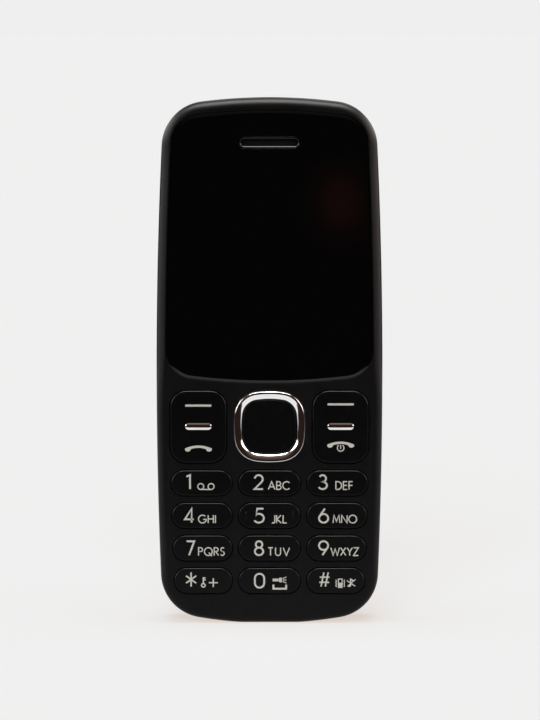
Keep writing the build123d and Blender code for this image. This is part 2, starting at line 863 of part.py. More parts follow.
def make_nav_carrier():
    """Rocking frame under the ring, with pivot ridges above and nubs below."""
    outer_width = ring_width + 2 * rocking_flange_width - 2 * carrier_inset
    outer_radius = ring_corner_radius + rocking_flange_width - carrier_inset
    outline = cut_corner_plate(0, pad_centre_height, outer_width, outer_width, outer_radius)
    hole_width = outer_width - 2 * carrier_band
    hole = cut_corner_plate(0, pad_centre_height, hole_width, hole_width, outer_radius - carrier_band)
    plate = slab(outline - hole, carrier_front, carrier_back)
    reach = outer_width / 2 - carrier_band / 2
    for side in sides:
        ridge = Pos(0, pad_centre_height + side * reach) * Rectangle(pivot_pad_width, carrier_band)
        plate += slab(ridge & outline, rocking_flange_back + pivot_pad_clearance, carrier_front)
    return plate


def make_select_key():
    """Centre key inside the ring, with its flange under the ring's."""
    width = select_width + 2 * rocking_flange_width
    corner = select_radius + rocking_flange_width
    return key_solid(
        pad_outline(select_width, select_radius),
        cut_corner_plate(0, pad_centre_height, width, width, corner),
        -select_proud,
        carrier_front,
        carrier_back,
    )


def make_keypad_mat():
    """Silicone mat: web, rim, raised platforms under the keys and nubs over the domes."""
    region = mat_region()
    mat = slab(region, mat_front, mat_back)
    rim = region - mat_region(mat_rim_width, overrun)
    mat += slab(rim, mat_back, film_front)
    number_seat = key_flange_back + mat_seat_clearance
    for row in range(key_row_count):
        for column in columns:
            mat += slab(key_plate(row, column, -mat_platform_inset), number_seat, mat_front)
    rocker_seat = rocking_flange_back + mat_seat_clearance
    select_seat = carrier_back + mat_seat_clearance
    for side in sides:
        mat += slab(rocker_plate(side, -mat_platform_inset), rocker_seat, mat_front)
        x = side * ring_dome_offset
        mat += peg(x, pad_centre_height, pivot_post_radius, select_seat, mat_front, dome_sides)
    half = select_width / 2
    mat += slab(cut_corner_plate(0, pad_centre_height, half, half, select_radius / 2), select_seat, mat_front)
    for x, height in dome_places():
        mat += peg(x, height, mat_nub_radius, mat_back, dome_top - mat_nub_clearance, dome_sides)
    return mat


def make_dome_sheet():
    """Film with the snap domes."""
    sheet = slab(mat_region(), film_front, board_front)
    for x, height in dome_places():
        dome = peg(x, height, dome_radius, dome_top, film_front, dome_sides)
        crown = dome.faces().sort_by(Axis.Y)[0]
        slope = (dome_radius * (1 - dome_top_share), dome_height * dome_slope_share)
        sheet += chamfer(crown.edges(), *slope, reference=crown)
    return sheet


def make_main_board():
    """Printed board with clearance for the bosses."""
    edge = shell_wall + board_edge_gap
    straight = phone_width / 2 - board_corner_radius * flange_corner_share
    low = bottom_edge(straight) + edge
    high = top_edge(straight) - edge
    width = 2 * (half_width_at(high) - edge)
    outline = cut_corner_plate(0, (low + high) / 2, width, high - low, board_corner_radius)
    board = slab(outline, board_front, board_back)
    for x, height in boss_places():
        hole = rear_boss_radius + boss_hole_clearance
        board -= peg(x, height, hole, board_front - overrun, board_back + overrun, boss_sides)
    return board


def make_shield_cans():
    """Two drawn cans over the radio and the processor."""
    cans = []
    for side in sides:
        shape = Rectangle(can_width, can_height)
        inner = Rectangle(can_width - 2 * can_wall, can_height - 2 * can_wall)
        place = Pos(side * (can_width + can_gap) / 2, can_bottom + can_height / 2)
        can = slab(place * shape, board_back, component_back)
        cans.append(can - slab(place * inner, board_back - overrun, component_back - can_wall))
    return Compound(children=cans)


def make_card_holder(x, bottom, width, height):
    """Stamped holder whose card slides in from below."""
    place = Pos(x, bottom)
    outer = width - 2 * component_clearance
    shape = Rectangle(outer, height, align=(Align.CENTER, Align.MIN))
    slot = Rectangle(outer - 2 * card_side_wall, height - card_side_wall, align=(Align.CENTER, Align.MIN))
    holder = slab(place * shape, board_back, component_back)
    return holder - slab(place * slot, card_slot_front, card_slot_back)


def make_battery():
    """Flat cell with rounded long edges, without its end cap."""
    shape = Rectangle(battery_width, battery_height - end_cap_height, align=(Align.CENTER, Align.MIN))
    cell = slab(Pos(0, battery_bottom) * shape, battery_front, battery_back)
    return fillet(cell.edges().filter_by(Axis.Z), battery_corner_radius)


def make_battery_end_cap():
    """Moulded cap at the top of the battery, with three contact pockets."""
    low = battery_top - end_cap_height
    shape = Rectangle(battery_width, end_cap_height, align=(Align.CENTER, Align.MIN))
    cap = slab(Pos(0, low) * shape, battery_front, battery_back)
    cap = fillet(cap.edges().filter_by(Axis.Z), battery_corner_radius)
    for place in (-1, 0, 1):
        pocket = Pos(place * contact_pitch, battery_top) * Rectangle(
            contact_width + 2 * component_clearance, contact_thickness
        )
        cap -= slab(pocket, connector_front, connector_front + connector_depth)
    return cap


def make_battery_connector():
    """Block of the three battery contacts, set into the bay's upper wall."""
    block = Pos(0, bay_top) * Rectangle(connector_width, connector_height, align=(Align.CENTER, Align.MIN))
    solid = slab(block, floor_back, connector_front + connector_depth)
    for place in (-1, 0, 1):
        pocket = Pos(place * contact_pitch, bay_top) * Rectangle(contact_width, 2 * contact_thickness)
        solid -= slab(pocket, connector_front, connector_front + contact_depth_span)
    return solid


def make_battery_contacts():
    """Three sprung contact blades, just short of the battery."""
    blades = []
    for place in (-1, 0, 1):
        blade = Pos(place * contact_pitch, bay_top + contact_thickness) * Rectangle(
            contact_width, contact_thickness + contact_reach, align=(Align.CENTER, Align.MAX)
        )
        blades.append(slab(blade, connector_front, connector_front + contact_depth_span))
    return Compound(children=blades)


def speaker_outline(inset=0):
    """Outline of the loudspeaker."""
    shape = RectangleRounded(
        speaker_width - 2 * inset, speaker_height - 2 * inset, speaker_corner_radius - inset
    )
    return Pos(speaker_centre_x, speaker_centre_height) * shape


def make_loudspeaker():
    """Loudspeaker box."""
    return slab(speaker_outline(), floor_back, speaker_back)


def make_loudspeaker_gasket():
    """Foam ring between the loudspeaker and the cover."""
    outer = Rectangle(speaker_width - 2 * speaker_gasket_width, speaker_height - 2 * speaker_gasket_width)
    inner = Rectangle(speaker_width - 4 * speaker_gasket_width, speaker_height - 4 * speaker_gasket_width)
    ring = Pos(speaker_centre_x, speaker_centre_height) * (outer - inner)
    return slab(ring, speaker_back, cover_inside - speaker_mesh_thickness - speaker_gasket_clearance)


def make_loudspeaker_mesh():
    """Fine mesh glued inside the slots of the cover."""
    width = speaker_slot_length + 2 * speaker_mesh_border
    height = speaker_slot_pitch * (speaker_slot_count - 1) + speaker_slot_width + 2 * speaker_mesh_border
    shape = Pos(speaker_centre_x, speaker_centre_height) * Rectangle(width, height)
    return slab(shape, cover_inside - speaker_mesh_thickness, cover_inside)


def make_vibration_motor():
    """Round motor can with its shaft bore."""
    right = motor_left + motor_length
    can = motor_bar(motor_radius, motor_left, right)
    bore_end = right - shaft_engagement - shaft_clearance
    return can - motor_bar(shaft_radius + shaft_clearance, bore_end, right + overrun)


def make_vibration_weight():
    """Shaft with the half-round weight that shakes the phone."""
    right = motor_left + motor_length
    near = right + shaft_gap
    far = near + weight_length
    lower = Pos(near, depth_y(motor_depth), motor_height_above_base) * Box(
        weight_length, 2 * weight_radius, weight_radius, align=(Align.MIN, Align.CENTER, Align.MAX)
    )
    shaft = motor_bar(shaft_radius, right - shaft_engagement, far)
    hub = motor_bar(weight_hub_radius, near, far)
    return shaft + (motor_bar(weight_radius, near, far) & lower) + hub


def make_torch_lens():
    """Clear lens in the top wall, flush with the bow and held by a flange inside."""
    lens = upright(torch_outline(), lens_flange_top, phone_height)
    lens = lens & slab(body_outline(torch_setback), front_split, cover_split)
    return lens + upright(torch_outline(torch_flange), lens_flange_top - torch_flange_thickness, lens_flange_top)


def make_torch_led():
    """Side-lit lamp on the back of the board, under the lens."""
    high = lens_flange_top - torch_flange_thickness - torch_led_gap
    shape = Pos(0, high) * Rectangle(torch_led_width, torch_led_height, align=(Align.CENTER, Align.MAX))
    return slab(shape, board_back, component_back)


def usb_outline(inset=0):
    """End view of the socket's shell, narrower on the side away from the board."""
    half = usb_width / 2 - inset
    near = depth_y(board_back) + inset
    far = depth_y(board_back + usb_depth) - inset
    cut = usb_corner_chamfer
    return make_face(
        Polyline(
            (-half, near),
            (half, near),
            (half, far - cut),
            (half - cut, far),
            (cut - half, far),
            (-half, far - cut),
            close=True,
        )
    )


def make_usb_shell():
    """Folded steel shell of the micro USB socket."""
    high = usb_mouth_setback + usb_length
    shell = upright(usb_outline(), usb_mouth_setback, high)
    return shell - upright(usb_outline(usb_wall), usb_mouth_setback - overrun, high - usb_wall)


def make_usb_tongue():
    """Contact tongue and block inside the socket."""
    high = usb_mouth_setback + usb_length - usb_wall
    block = upright(usb_outline(usb_wall), high - usb_back_length, high)
    bar = Pos(0, depth_y(usb_centre_depth + usb_tongue_offset)) * Rectangle(usb_tongue_width, usb_tongue_depth)
    return block + upright(bar, usb_mouth_setback + usb_tongue_setback, high)


def make_headphone_jack():
    """Jack with a round nose in the wall and a plug bore from the bottom."""
    centre = Pos(jack_centre_x, depth_y(jack_centre_depth))
    mouth = jack_mouth()
    shoulder = mouth + jack_nose_length
    nose = upright(centre * Circle(jack_nose_radius), mouth, shoulder)
    box = Pos(jack_centre_x, depth_y(board_back)) * Rectangle(
        jack_body_width, jack_body_depth, align=(Align.CENTER, Align.MIN)
    )
    body = nose + upright(box, shoulder, shoulder + jack_body_length)
    return body - upright(centre * Circle(jack_bore_radius), mouth - overrun, mouth + jack_bore_length)


def make_microphone():
    """Microphone capsule on the front of the board, over its hole in the bottom wall."""
    shape = Pos(microphone_x, microphone_bottom) * Rectangle(
        microphone_width, microphone_height, align=(Align.CENTER, Align.MIN)
    )
    return slab(shape, board_front - microphone_thickness, board_front)


def make_antenna_carrier():
    """Open-fronted plastic frame that holds the antenna away from the board."""
    shape = Rectangle(antenna_right - antenna_left, antenna_top - antenna_bottom)
    place = Pos((antenna_left + antenna_right) / 2, (antenna_bottom + antenna_top) / 2)
    region = body_outline(shell_wall + board_edge_gap) & place * shape
    inner = body_outline(shell_wall + board_edge_gap + antenna_wall) & place * Rectangle(
        antenna_right - antenna_left - 2 * antenna_wall, antenna_top - antenna_bottom - 2 * antenna_wall
    )
    back = floor_back + antenna_depth
    return slab(region, floor_back, back) - slab(inner, floor_back - overrun, back - antenna_wall)


def make_antenna_strip():
    """Folded radiator on the back of its carrier, with one slot."""
    width = antenna_right - antenna_left - 2 * antenna_strip_inset
    height = antenna_top - antenna_bottom - 2 * antenna_strip_inset
    centre = ((antenna_left + antenna_right) / 2, (antenna_bottom + antenna_top) / 2)
    plate = Pos(*centre) * Rectangle(width, height)
    plate = plate & body_outline(shell_wall + board_edge_gap + antenna_strip_inset)
    slot = Pos(antenna_left + antenna_strip_inset, centre[1]) * Rectangle(
        width * antenna_slot_share, antenna_slot_width, align=(Align.MIN, Align.CENTER)
    )
    back = floor_back + antenna_depth
    return slab(plate - slot, back, back + antenna_strip_thickness)


def make_housing_screws():
    """Four identical screws, driven from the back."""
    screws = []
    for x, height in boss_places():
        head_back = screw_seat_depth + screw_head_height
        screw = peg(x, height, screw_radius, screw_tip_depth, screw_seat_depth, screw_sides)
        screw += peg(x, height, screw_head_radius, screw_seat_depth, head_back, screw_sides)
        screws.append(screw)
    return Compound(children=screws)


def make_parts():
    """All pieces by name."""
    key_names = [
        ["key_star", "key_0", "key_hash"],
        ["key_7", "key_8", "key_9"],
        ["key_4", "key_5", "key_6"],
        ["key_1", "key_2", "key_3"],
    ]
    sim_x = (sim_width + sim_column_gap) / 2
    parts = {
        "front_housing": make_front_housing(),
        "rear_housing": make_rear_housing(),
        "battery_cover": make_battery_cover(),
        "housing_screws": make_housing_screws(),
        "display_window": make_display_window(),
        "window_tape": make_window_tape(),
        "lcd_gasket": make_lcd_gasket(),
        "lcd_panel": make_lcd_panel(),
        "lcd_frame": make_lcd_frame(),
        "display_flex": make_display_flex(),
        "earpiece": make_earpiece(),
        "earpiece_mesh": make_earpiece_mesh(),
        "left_rocker_key": make_rocker_key(-1),
        "left_rocker_trim": make_rocker_trim(-1),
        "right_rocker_key": make_rocker_key(1),
        "right_rocker_trim": make_rocker_trim(1),
        "nav_ring": make_nav_ring(),
        "nav_carrier": make_nav_carrier(),
        "select_key": make_select_key(),
        "keypad_mat": make_keypad_mat(),
        "dome_sheet": make_dome_sheet(),
        "main_board": make_main_board(),
        "shield_cans": make_shield_cans(),
        "sim_holder_left": make_card_holder(-sim_x, sim_bottom, sim_width, sim_height),
        "sim_holder_right": make_card_holder(sim_x, sim_bottom, sim_width, sim_height),
        "memory_card_holder": make_card_holder(0, card_bottom, card_width, card_height),
        "battery": make_battery(),
        "battery_end_cap": make_battery_end_cap(),
        "battery_connector": make_battery_connector(),
        "battery_contacts": make_battery_contacts(),
        "loudspeaker": make_loudspeaker(),
        "loudspeaker_gasket": make_loudspeaker_gasket(),
        "loudspeaker_mesh": make_loudspeaker_mesh(),
        "vibration_motor": make_vibration_motor(),
        "vibration_weight": make_vibration_weight(),
        "torch_lens": make_torch_lens(),
        "torch_led": make_torch_led(),
        "usb_shell": make_usb_shell(),
        "usb_tongue": make_usb_tongue(),
        "headphone_jack": make_headphone_jack(),
        "microphone": make_microphone(),
        "antenna_carrier": make_antenna_carrier(),
        "antenna_strip": make_antenna_strip(),
    }
    for row, names in enumerate(key_names):
        for column, name in zip(columns, names):
            parts[name] = make_number_key(row, column)
    return parts


def main():
    """Write one STEP file for each piece."""
    os.makedirs("parts", exist_ok=True)
    for name, shape in make_parts().items():
        export_step(shape, f"parts/{name}.step")


main()
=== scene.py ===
"""Studio scene of a black feature phone with a number keypad, standing on a pale floor.

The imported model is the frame. Outer pieces get smooth skins that replace their faceted solids, and
the pieces inside keep their solids with finishes of their own. Sizes are in millimetres until a mesh
is made.
"""

import json
import logging
import math
from dataclasses import dataclass, field
from enum import Enum
from functools import cache
from typing import Callable

import bmesh
import bpy
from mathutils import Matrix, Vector
from mathutils.geometry import tessellate_polygon


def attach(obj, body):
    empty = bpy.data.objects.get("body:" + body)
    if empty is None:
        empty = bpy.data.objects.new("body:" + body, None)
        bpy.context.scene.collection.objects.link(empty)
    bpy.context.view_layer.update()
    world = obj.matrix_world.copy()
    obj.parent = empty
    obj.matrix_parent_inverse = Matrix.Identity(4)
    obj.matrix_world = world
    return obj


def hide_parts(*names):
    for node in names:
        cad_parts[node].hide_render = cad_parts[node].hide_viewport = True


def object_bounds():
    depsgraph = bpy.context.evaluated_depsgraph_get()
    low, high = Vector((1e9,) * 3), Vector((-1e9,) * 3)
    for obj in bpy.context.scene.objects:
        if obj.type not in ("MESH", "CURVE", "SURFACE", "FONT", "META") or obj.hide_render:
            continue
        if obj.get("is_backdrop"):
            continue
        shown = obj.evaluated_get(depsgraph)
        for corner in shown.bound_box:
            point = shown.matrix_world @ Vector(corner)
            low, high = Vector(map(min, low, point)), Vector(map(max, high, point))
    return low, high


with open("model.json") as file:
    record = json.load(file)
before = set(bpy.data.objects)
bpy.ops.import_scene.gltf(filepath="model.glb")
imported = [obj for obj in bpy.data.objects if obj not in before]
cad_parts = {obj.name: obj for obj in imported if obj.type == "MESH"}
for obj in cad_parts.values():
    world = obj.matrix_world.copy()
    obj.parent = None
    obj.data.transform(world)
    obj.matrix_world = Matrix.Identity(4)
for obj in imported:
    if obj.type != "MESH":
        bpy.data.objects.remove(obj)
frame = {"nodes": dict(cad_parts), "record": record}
cad_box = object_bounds()

log = logging.getLogger("phone")
METRE = 0.001  # a millimetre
FRONT_Y = -6.5  # y of the front face, from which depths are counted
LEAST_RADIUS = 0.001  # of a corner that an inset has used up
WELD = 1e-7  # metres within which points merge
FLAT_STEP = 1.04  # end of the narrow flat step behind a rounding, in its widths
Point = tuple[float, float]
Place = tuple[float, float, float]
Colour = tuple[float, float, float]
Loop = list[int]
Tree = bpy.types.NodeTree
Socket = bpy.types.NodeSocket
Piece = bpy.types.Object
Mesh = bmesh.types.BMesh


class Side(Enum):
    """Left or right half of the phone: its word and the sign of x there."""

    LEFT = ("left", -1)
    RIGHT = ("right", 1)

    @property
    def word(self) -> str:
        """Word that names the side."""
        return self.value[0]

    @property
    def sign(self) -> int:
        """Sign of x on the side."""
        return self.value[1]


def arc(centre: Point, radius: float, start: float, stop: float, count: int) -> list[Point]:
    """Sample an arc, leaving out its last point.

    Args:
        centre: Centre of the arc.
        radius: Its radius.
        start: First angle in radians.
        stop: Last angle in radians.
        count: How many points to give.

    Returns:
        Points from the start towards the stop.
    """
    angles = [start + (stop - start) * i / count for i in range(count)]
    return [(centre[0] + radius * math.cos(a), centre[1] + radius * math.sin(a)) for a in angles]


@dataclass(frozen=True)
class RoundedBox:
    """Rounded rectangle seen from the front; its corners may meet in a half circle."""

    x: float
    height: float
    width: float
    tall: float
    corner: float
    corner_points: int = 14

    def points(self, inset: float = 0.0) -> list[Point]:
        """Give the outline drawn in by an inset, anticlockwise from the right-hand lower corner.

        Args:
            inset: How far the outline moves inwards.

        Returns:
            The same number of points for every inset.
        """
        radius = max(self.corner - inset, LEAST_RADIUS)
        half_width = self.width / 2 - inset - radius
        half_tall = self.tall / 2 - inset - radius
        found: list[Point] = []
        for turn, (side, up) in enumerate(((1, -1), (1, 1), (-1, 1), (-1, -1))):
            centre = (self.x + side * half_width, self.height + up * half_tall)
            start = (turn - 1) * math.pi / 2
            step = math.pi / 2 * (1 + 1 / self.corner_points)
            found += arc(centre, radius, start, start + step, self.corner_points + 1)
        return found


@dataclass(frozen=True)
class BowedBox:
    """Outline of four shallow bows with rounded corners, such as the phone's body and its window."""

    half_width: float
    side_radius: float
    side_height: float
    top: float
    top_radius: float
    bottom: float
    bottom_radius: float
    top_corner: float
    bottom_corner: float
    floor: float = -100.0
    bow_steps: int = 18
    corner_steps: int = 16
    side_steps: int = 34

    def _corner(self, bow: Point, bow_radius: float, fillet: float, up: int) -> Point:
        """Find the centre of a right-hand corner between the side bow and another bow.

        Args:
            bow: Centre of the top or bottom bow.
            bow_radius: Radius of that bow.
            fillet: Radius of the corner.
            up: 1 for the upper corner, -1 for the lower one.

        Returns:
            The corner's centre.
        """
        side = Vector((self.half_width - self.side_radius, self.side_height))
        other = Vector(bow)
        near = self.side_radius - fillet
        far = bow_radius - fillet
        gap = (other - side).length
        along = (near**2 - far**2 + gap**2) / (2 * gap)
        across = math.sqrt(near**2 - along**2)
        line = (other - side) / gap
        foot = side + line * along
        normal = Vector((-line.y, line.x))
        picks = [foot + normal * across, foot - normal * across]
        pick = max(picks, key=lambda p: p.x + up * p.y)
        return (pick.x, pick.y)

    def points(self, inset: float = 0.0) -> list[Point]:
        """Give the outline drawn in by an inset, anticlockwise.

        Args:
            inset: How far the outline moves inwards.

        Returns:
            The same number of points for every inset.
        """
        side = (self.half_width - self.side_radius, self.side_height)
        top = (0.0, self.top - self.top_radius)
        low = (0.0, self.bottom + self.bottom_radius)
        upper = self._corner(top, self.top_radius, self.top_corner, 1)
        lower = self._corner(low, self.bottom_radius, self.bottom_corner, -1)

        def angle(a: Point, b: Point) -> float:
            """Angle of the line from a to b."""
            return math.atan2(b[1] - a[1], b[0] - a[0])

        low_join = angle(low, lower)
        side_low = angle(side, lower)
        side_high = angle(side, upper)
        top_join = angle(top, upper)
        right = arc(low, self.bottom_radius - inset, -math.pi / 2, low_join, self.bow_steps)
        right += arc(lower, self.bottom_corner - inset, low_join, side_low, self.corner_steps)
        right += arc(side, self.side_radius - inset, side_low, side_high, self.side_steps)
        right += arc(upper, self.top_corner - inset, side_high, top_join, self.corner_steps)
        right += arc(top, self.top_radius - inset, top_join, math.pi / 2, self.bow_steps)
        right.append((0.0, self.top - inset))
        left = [(-x, z) for x, z in reversed(right[1:-1])]
        low_limit = self.floor + inset
        return [(x, max(z, low_limit)) for x, z in right + left]


BODY = BowedBox(
    half_width=23.0, side_radius=1000.0, side_height=50.0, top=107.0, top_radius=112.0,
    bottom=-0.207, bottom_radius=87.0, top_corner=9.0, bottom_corner=9.25, floor=0.0,
)
WINDOW = BowedBox(
    half_width=21.05, side_radius=998.05, side_height=50.0, top=104.65, top_radius=109.65,
    bottom=49.2, bottom_radius=132.0, top_corner=5.8, bottom_corner=5.8,
)
Shape = RoundedBox | BowedBox


def flanged(edge: float, flange: float, back: float, front: float) -> list[Point]:
    """Give the start of a key's profile: its flange, from the back to the wall in front of it."""
    return [(edge - flange, back), (edge - flange, front), (edge, front)]


def put(name: str, data: bpy.types.ID) -> Piece:
    """Put an object with the given mesh, lamp or camera into the scene."""
    piece = bpy.data.objects.new(name, data)
    bpy.context.scene.collection.objects.link(piece)
    return piece


def mesh_piece(
    name: str, points: list[Place], faces: list[tuple[int, ...]], mend: Callable[[Mesh], None]
) -> Piece:
    """Make an object from points in millimetres.

    Args:
        name: Name of the piece.
        points: Its points.
        faces: Their numbers, face by face.
        mend: Step that cleans the mesh.

    Returns:
        The new object, in metres.
    """
    mesh = bpy.data.meshes.new(name)
    mesh.from_pydata([tuple(v * METRE for v in p) for p in points], [], faces)
    work = bmesh.new()
    work.from_mesh(mesh)
    mend(work)
    work.to_mesh(mesh)
    work.free()
    return put(name, mesh)


class Skin:
    """Mesh made of outlines at depths behind the front face, joined by strips and closed by caps."""

    def __init__(self) -> None:
        """Start with no points and no faces."""
        self.points: list[Place] = []
        self.faces: list[tuple[int, ...]] = []

    def loop(self, outline: list[Point], depth: float) -> Loop:
        """Add an outline at one depth and return its point numbers."""
        first = len(self.points)
        self.points += [(x, FRONT_Y + depth, z) for x, z in outline]
        return list(range(first, len(self.points)))

    def strip(self, a: Loop, b: Loop) -> None:
        """Join two outlines with the same number of points by a strip of faces."""
        count = len(a)
        for i in range(count):
            j = (i + 1) % count
            self.faces.append((a[i], a[j], b[j], b[i]))

    def rows(self, shape: Shape, profile: list[Point]) -> list[Loop]:
        """Add one outline for each (inset, depth) of a profile and join them in order.

        Args:
            shape: The outline.
            profile: Insets and depths.

        Returns:
            The loops, in the profile's order.
        """
        loops = [self.loop(shape.points(inset), depth) for inset, depth in profile]
        for a, b in zip(loops, loops[1:]):
            self.strip(a, b)
        return loops

    def cap(self, rim: Loop, holes: list[Loop] | None = None) -> None:
        """Close a loop with flat faces that leave holes open.

        Args:
            rim: The outer loop.
            holes: Loops inside it.
        """
        loops = [rim] + list(holes or [])
        flat = [i for loop in loops for i in loop]
        lines = [[Vector((self.points[i][0], self.points[i][2], 0)) for i in loop] for loop in loops]
        for triangle in tessellate_polygon(lines):
            self.faces.append(tuple(flat[i] for i in triangle))

    def plug(self, shape: Shape, profile: list[Point]) -> None:
        """Add one outline for each (inset, depth) of a profile and close both ends.

        Args:
            shape: The outline.
            profile: Insets and depths.
        """
        loops = self.rows(shape, profile)
        self.cap(loops[0])
        self.cap(loops[-1])

    @staticmethod
    def _mend(work: Mesh) -> None:
        """Merge the points that lie together and let all faces look outwards."""
        bmesh.ops.remove_doubles(work, verts=work.verts, dist=WELD)
        bmesh.ops.recalc_face_normals(work, faces=work.faces)

    def build(self, name: str, sharp: float = 32.0) -> Piece:
        """Make the Blender object, smooth apart from edges over an angle.

        Args:
            name: Name of the piece.
            sharp: Angle in degrees over which an edge stays sharp.

        Returns:
            The new object, in metres.
        """
        piece = mesh_piece(name, self.points, self.faces, self._mend)
        piece.data.shade_smooth()
        piece.data.set_sharp_from_angle(angle=math.radians(sharp))
        return piece


def quarter(
    inset: float, depth: float, radius: float, rows: int, deep: float | None = None
) -> list[Point]:
    """Profile of a rounded rim, from the wall to the face in front of it.

    Args:
        inset: Inset of the wall.
        depth: Depth of the face.
        radius: Width of the rounding.
        rows: Number of steps.
        deep: Depth of the rounding where it differs from its width.

    Returns:
        Insets and depths, with a last narrow step on the face that keeps its shading flat.
    """
    down = radius if deep is None else deep
    found = []
    for i in range(rows + 1):
        a = math.pi / 2 * i / rows
        found.append((inset + radius * (1 - math.cos(a)), depth + down * (1 - math.sin(a))))
    found.append((inset + radius * FLAT_STEP, depth))
    return found


def group(name: str, inputs: dict[str, float], outputs: list[str]) -> Tree:
    """Make an empty shader node group with number inputs, a vector input and outputs.

    Args:
        name: Name of the group.
        inputs: Number inputs and their defaults.
        outputs: Names of the outputs.

    Returns:
        The group.
    """
    tree = bpy.data.node_groups.new(name, "ShaderNodeTree")
    tree.interface.new_socket("Vector", in_out="INPUT", socket_type="NodeSocketVector")
    for key, value in inputs.items():
        socket = tree.interface.new_socket(key, in_out="INPUT", socket_type="NodeSocketFloat")
        socket.default_value = value
    for key in outputs:
        tree.interface.new_socket(key, in_out="OUTPUT", socket_type="NodeSocketFloat")
    tree.nodes.new("NodeGroupInput").name = "in"
    tree.nodes.new("NodeGroupOutput").name = "out"
    return tree


def maths(tree: Tree, kind: str, *values: object) -> Socket:
    """Add a math node whose inputs are numbers or sockets.

    Args:
        tree: Tree that gets the node.
        kind: Operation.
        values: Numbers or sockets.

    Returns:
        The result's socket.
    """
    node = tree.nodes.new("ShaderNodeMath")
    node.operation = kind
    for i, value in enumerate(values):
        if isinstance(value, Socket):
            tree.links.new(value, node.inputs[i])
        else:
            node.inputs[i].default_value = value
    return node.outputs[0]


def noise(tree: Tree, vector: Socket, scale: Socket, detail: float) -> Socket:
    """Add a noise texture.

    Args:
        tree: Tree that gets the node.
        vector: Coordinates.
        scale: Its scale.
        detail: Octaves.

    Returns:
        The noise value.
    """
    node = tree.nodes.new("ShaderNodeTexNoise")
    node.inputs["Detail"].default_value = detail
    tree.links.new(vector, node.inputs["Vector"])
    tree.links.new(scale, node.inputs["Scale"])
    return node.outputs["Fac"]


def cells(tree: Tree, vector: Socket, scale: Socket) -> bpy.types.Node:
    """Add a Voronoi texture with the given coordinates and scale."""
    node = tree.nodes.new("ShaderNodeTexVoronoi")
    tree.links.new(vector, node.inputs["Vector"])
    tree.links.new(scale, node.inputs["Scale"])
    return node


@cache
def grain_group() -> Tree:
    """Fine spark-eroded grain of a moulded surface: a height and a tone that wanders slowly."""
    fine_octaves, broad_octaves = 3.0, 4.0
    pit_share, fine_share = 0.5, 0.35
    tree = group("moulded_grain", {"Scale": 9000.0, "Spread": 220.0}, ["Height", "Tone"])
    place, scale, spread = (tree.nodes["in"].outputs[key] for key in ("Vector", "Scale", "Spread"))
    out = tree.nodes["out"].inputs
    fine = noise(tree, place, scale, fine_octaves)
    pits = cells(tree, place, scale).outputs["Distance"]
    tree.links.new(maths(tree, "MULTIPLY_ADD", pits, pit_share, fine), out["Height"])
    broad = noise(tree, place, spread, broad_octaves)
    tree.links.new(maths(tree, "MULTIPLY_ADD", fine, fine_share, broad), out["Tone"])
    return tree


@cache
def fleck_group() -> Tree:
    """Tiny bright flecks, such as metal dust in a lacquer, as a mask."""
    reach = 0.32
    tree = group("fine_flecks", {"Scale": 6000.0, "Threshold": 0.12}, ["Mask"])
    entry = tree.nodes["in"].outputs
    dust = cells(tree, entry["Vector"], entry["Scale"]).outputs
    lone = tree.nodes.new("ShaderNodeSeparateColor")
    tree.links.new(dust["Color"], lone.inputs[0])
    picked = maths(tree, "LESS_THAN", lone.outputs[0], entry["Threshold"])
    near = maths(tree, "LESS_THAN", dust["Distance"], reach)
    tree.links.new(maths(tree, "MULTIPLY", picked, near), tree.nodes["out"].inputs["Mask"])
    return tree


@cache
def handling_group() -> Tree:
    """Faint smears and hairline scratches left by handling, as one mask."""
    octaves, middle = 6.0, 0.5
    tree = group("handling_marks", {"Scale": 60.0, "Amount": 0.5}, ["Mask"])
    entry = tree.nodes["in"].outputs
    stretch = tree.nodes.new("ShaderNodeMapping")
    stretch.inputs["Scale"].default_value = (1.0, 1.0, 0.25)
    stretch.inputs["Rotation"].default_value = (0.0, 0.5, 0.0)
    tree.links.new(entry["Vector"], stretch.inputs["Vector"])
    smear = noise(tree, stretch.outputs["Vector"], entry["Scale"], octaves)
    raised = maths(tree, "MAXIMUM", maths(tree, "SUBTRACT", smear, middle), 0.0)
    scaled = maths(tree, "MULTIPLY", raised, entry["Amount"])
    tree.links.new(maths(tree, "MINIMUM", scaled, 1.0), tree.nodes["out"].inputs["Mask"])
    return tree


def mix(tree: Tree, factor: Socket, first: Colour | Socket, second: Colour | Socket) -> Socket:
    """Mix two colours, each given as a colour or a socket.

    Args:
        tree: Tree that gets the node.
        factor: Mask between them.
        first: Colour where the mask is 0.
        second: Colour where the mask is 1.

    Returns:
        The mixed colour.
    """
    node = tree.nodes.new("ShaderNodeMix")
    node.data_type = "RGBA"
    tree.links.new(factor, node.inputs["Factor"])
    colour_a, colour_b, result = node.inputs[6], node.inputs[7], node.outputs[2]
    for socket, value in ((colour_a, first), (colour_b, second)):
        if isinstance(value, Socket):
            tree.links.new(value, socket)
        else:
            socket.default_value = (*value, 1.0)
    return result


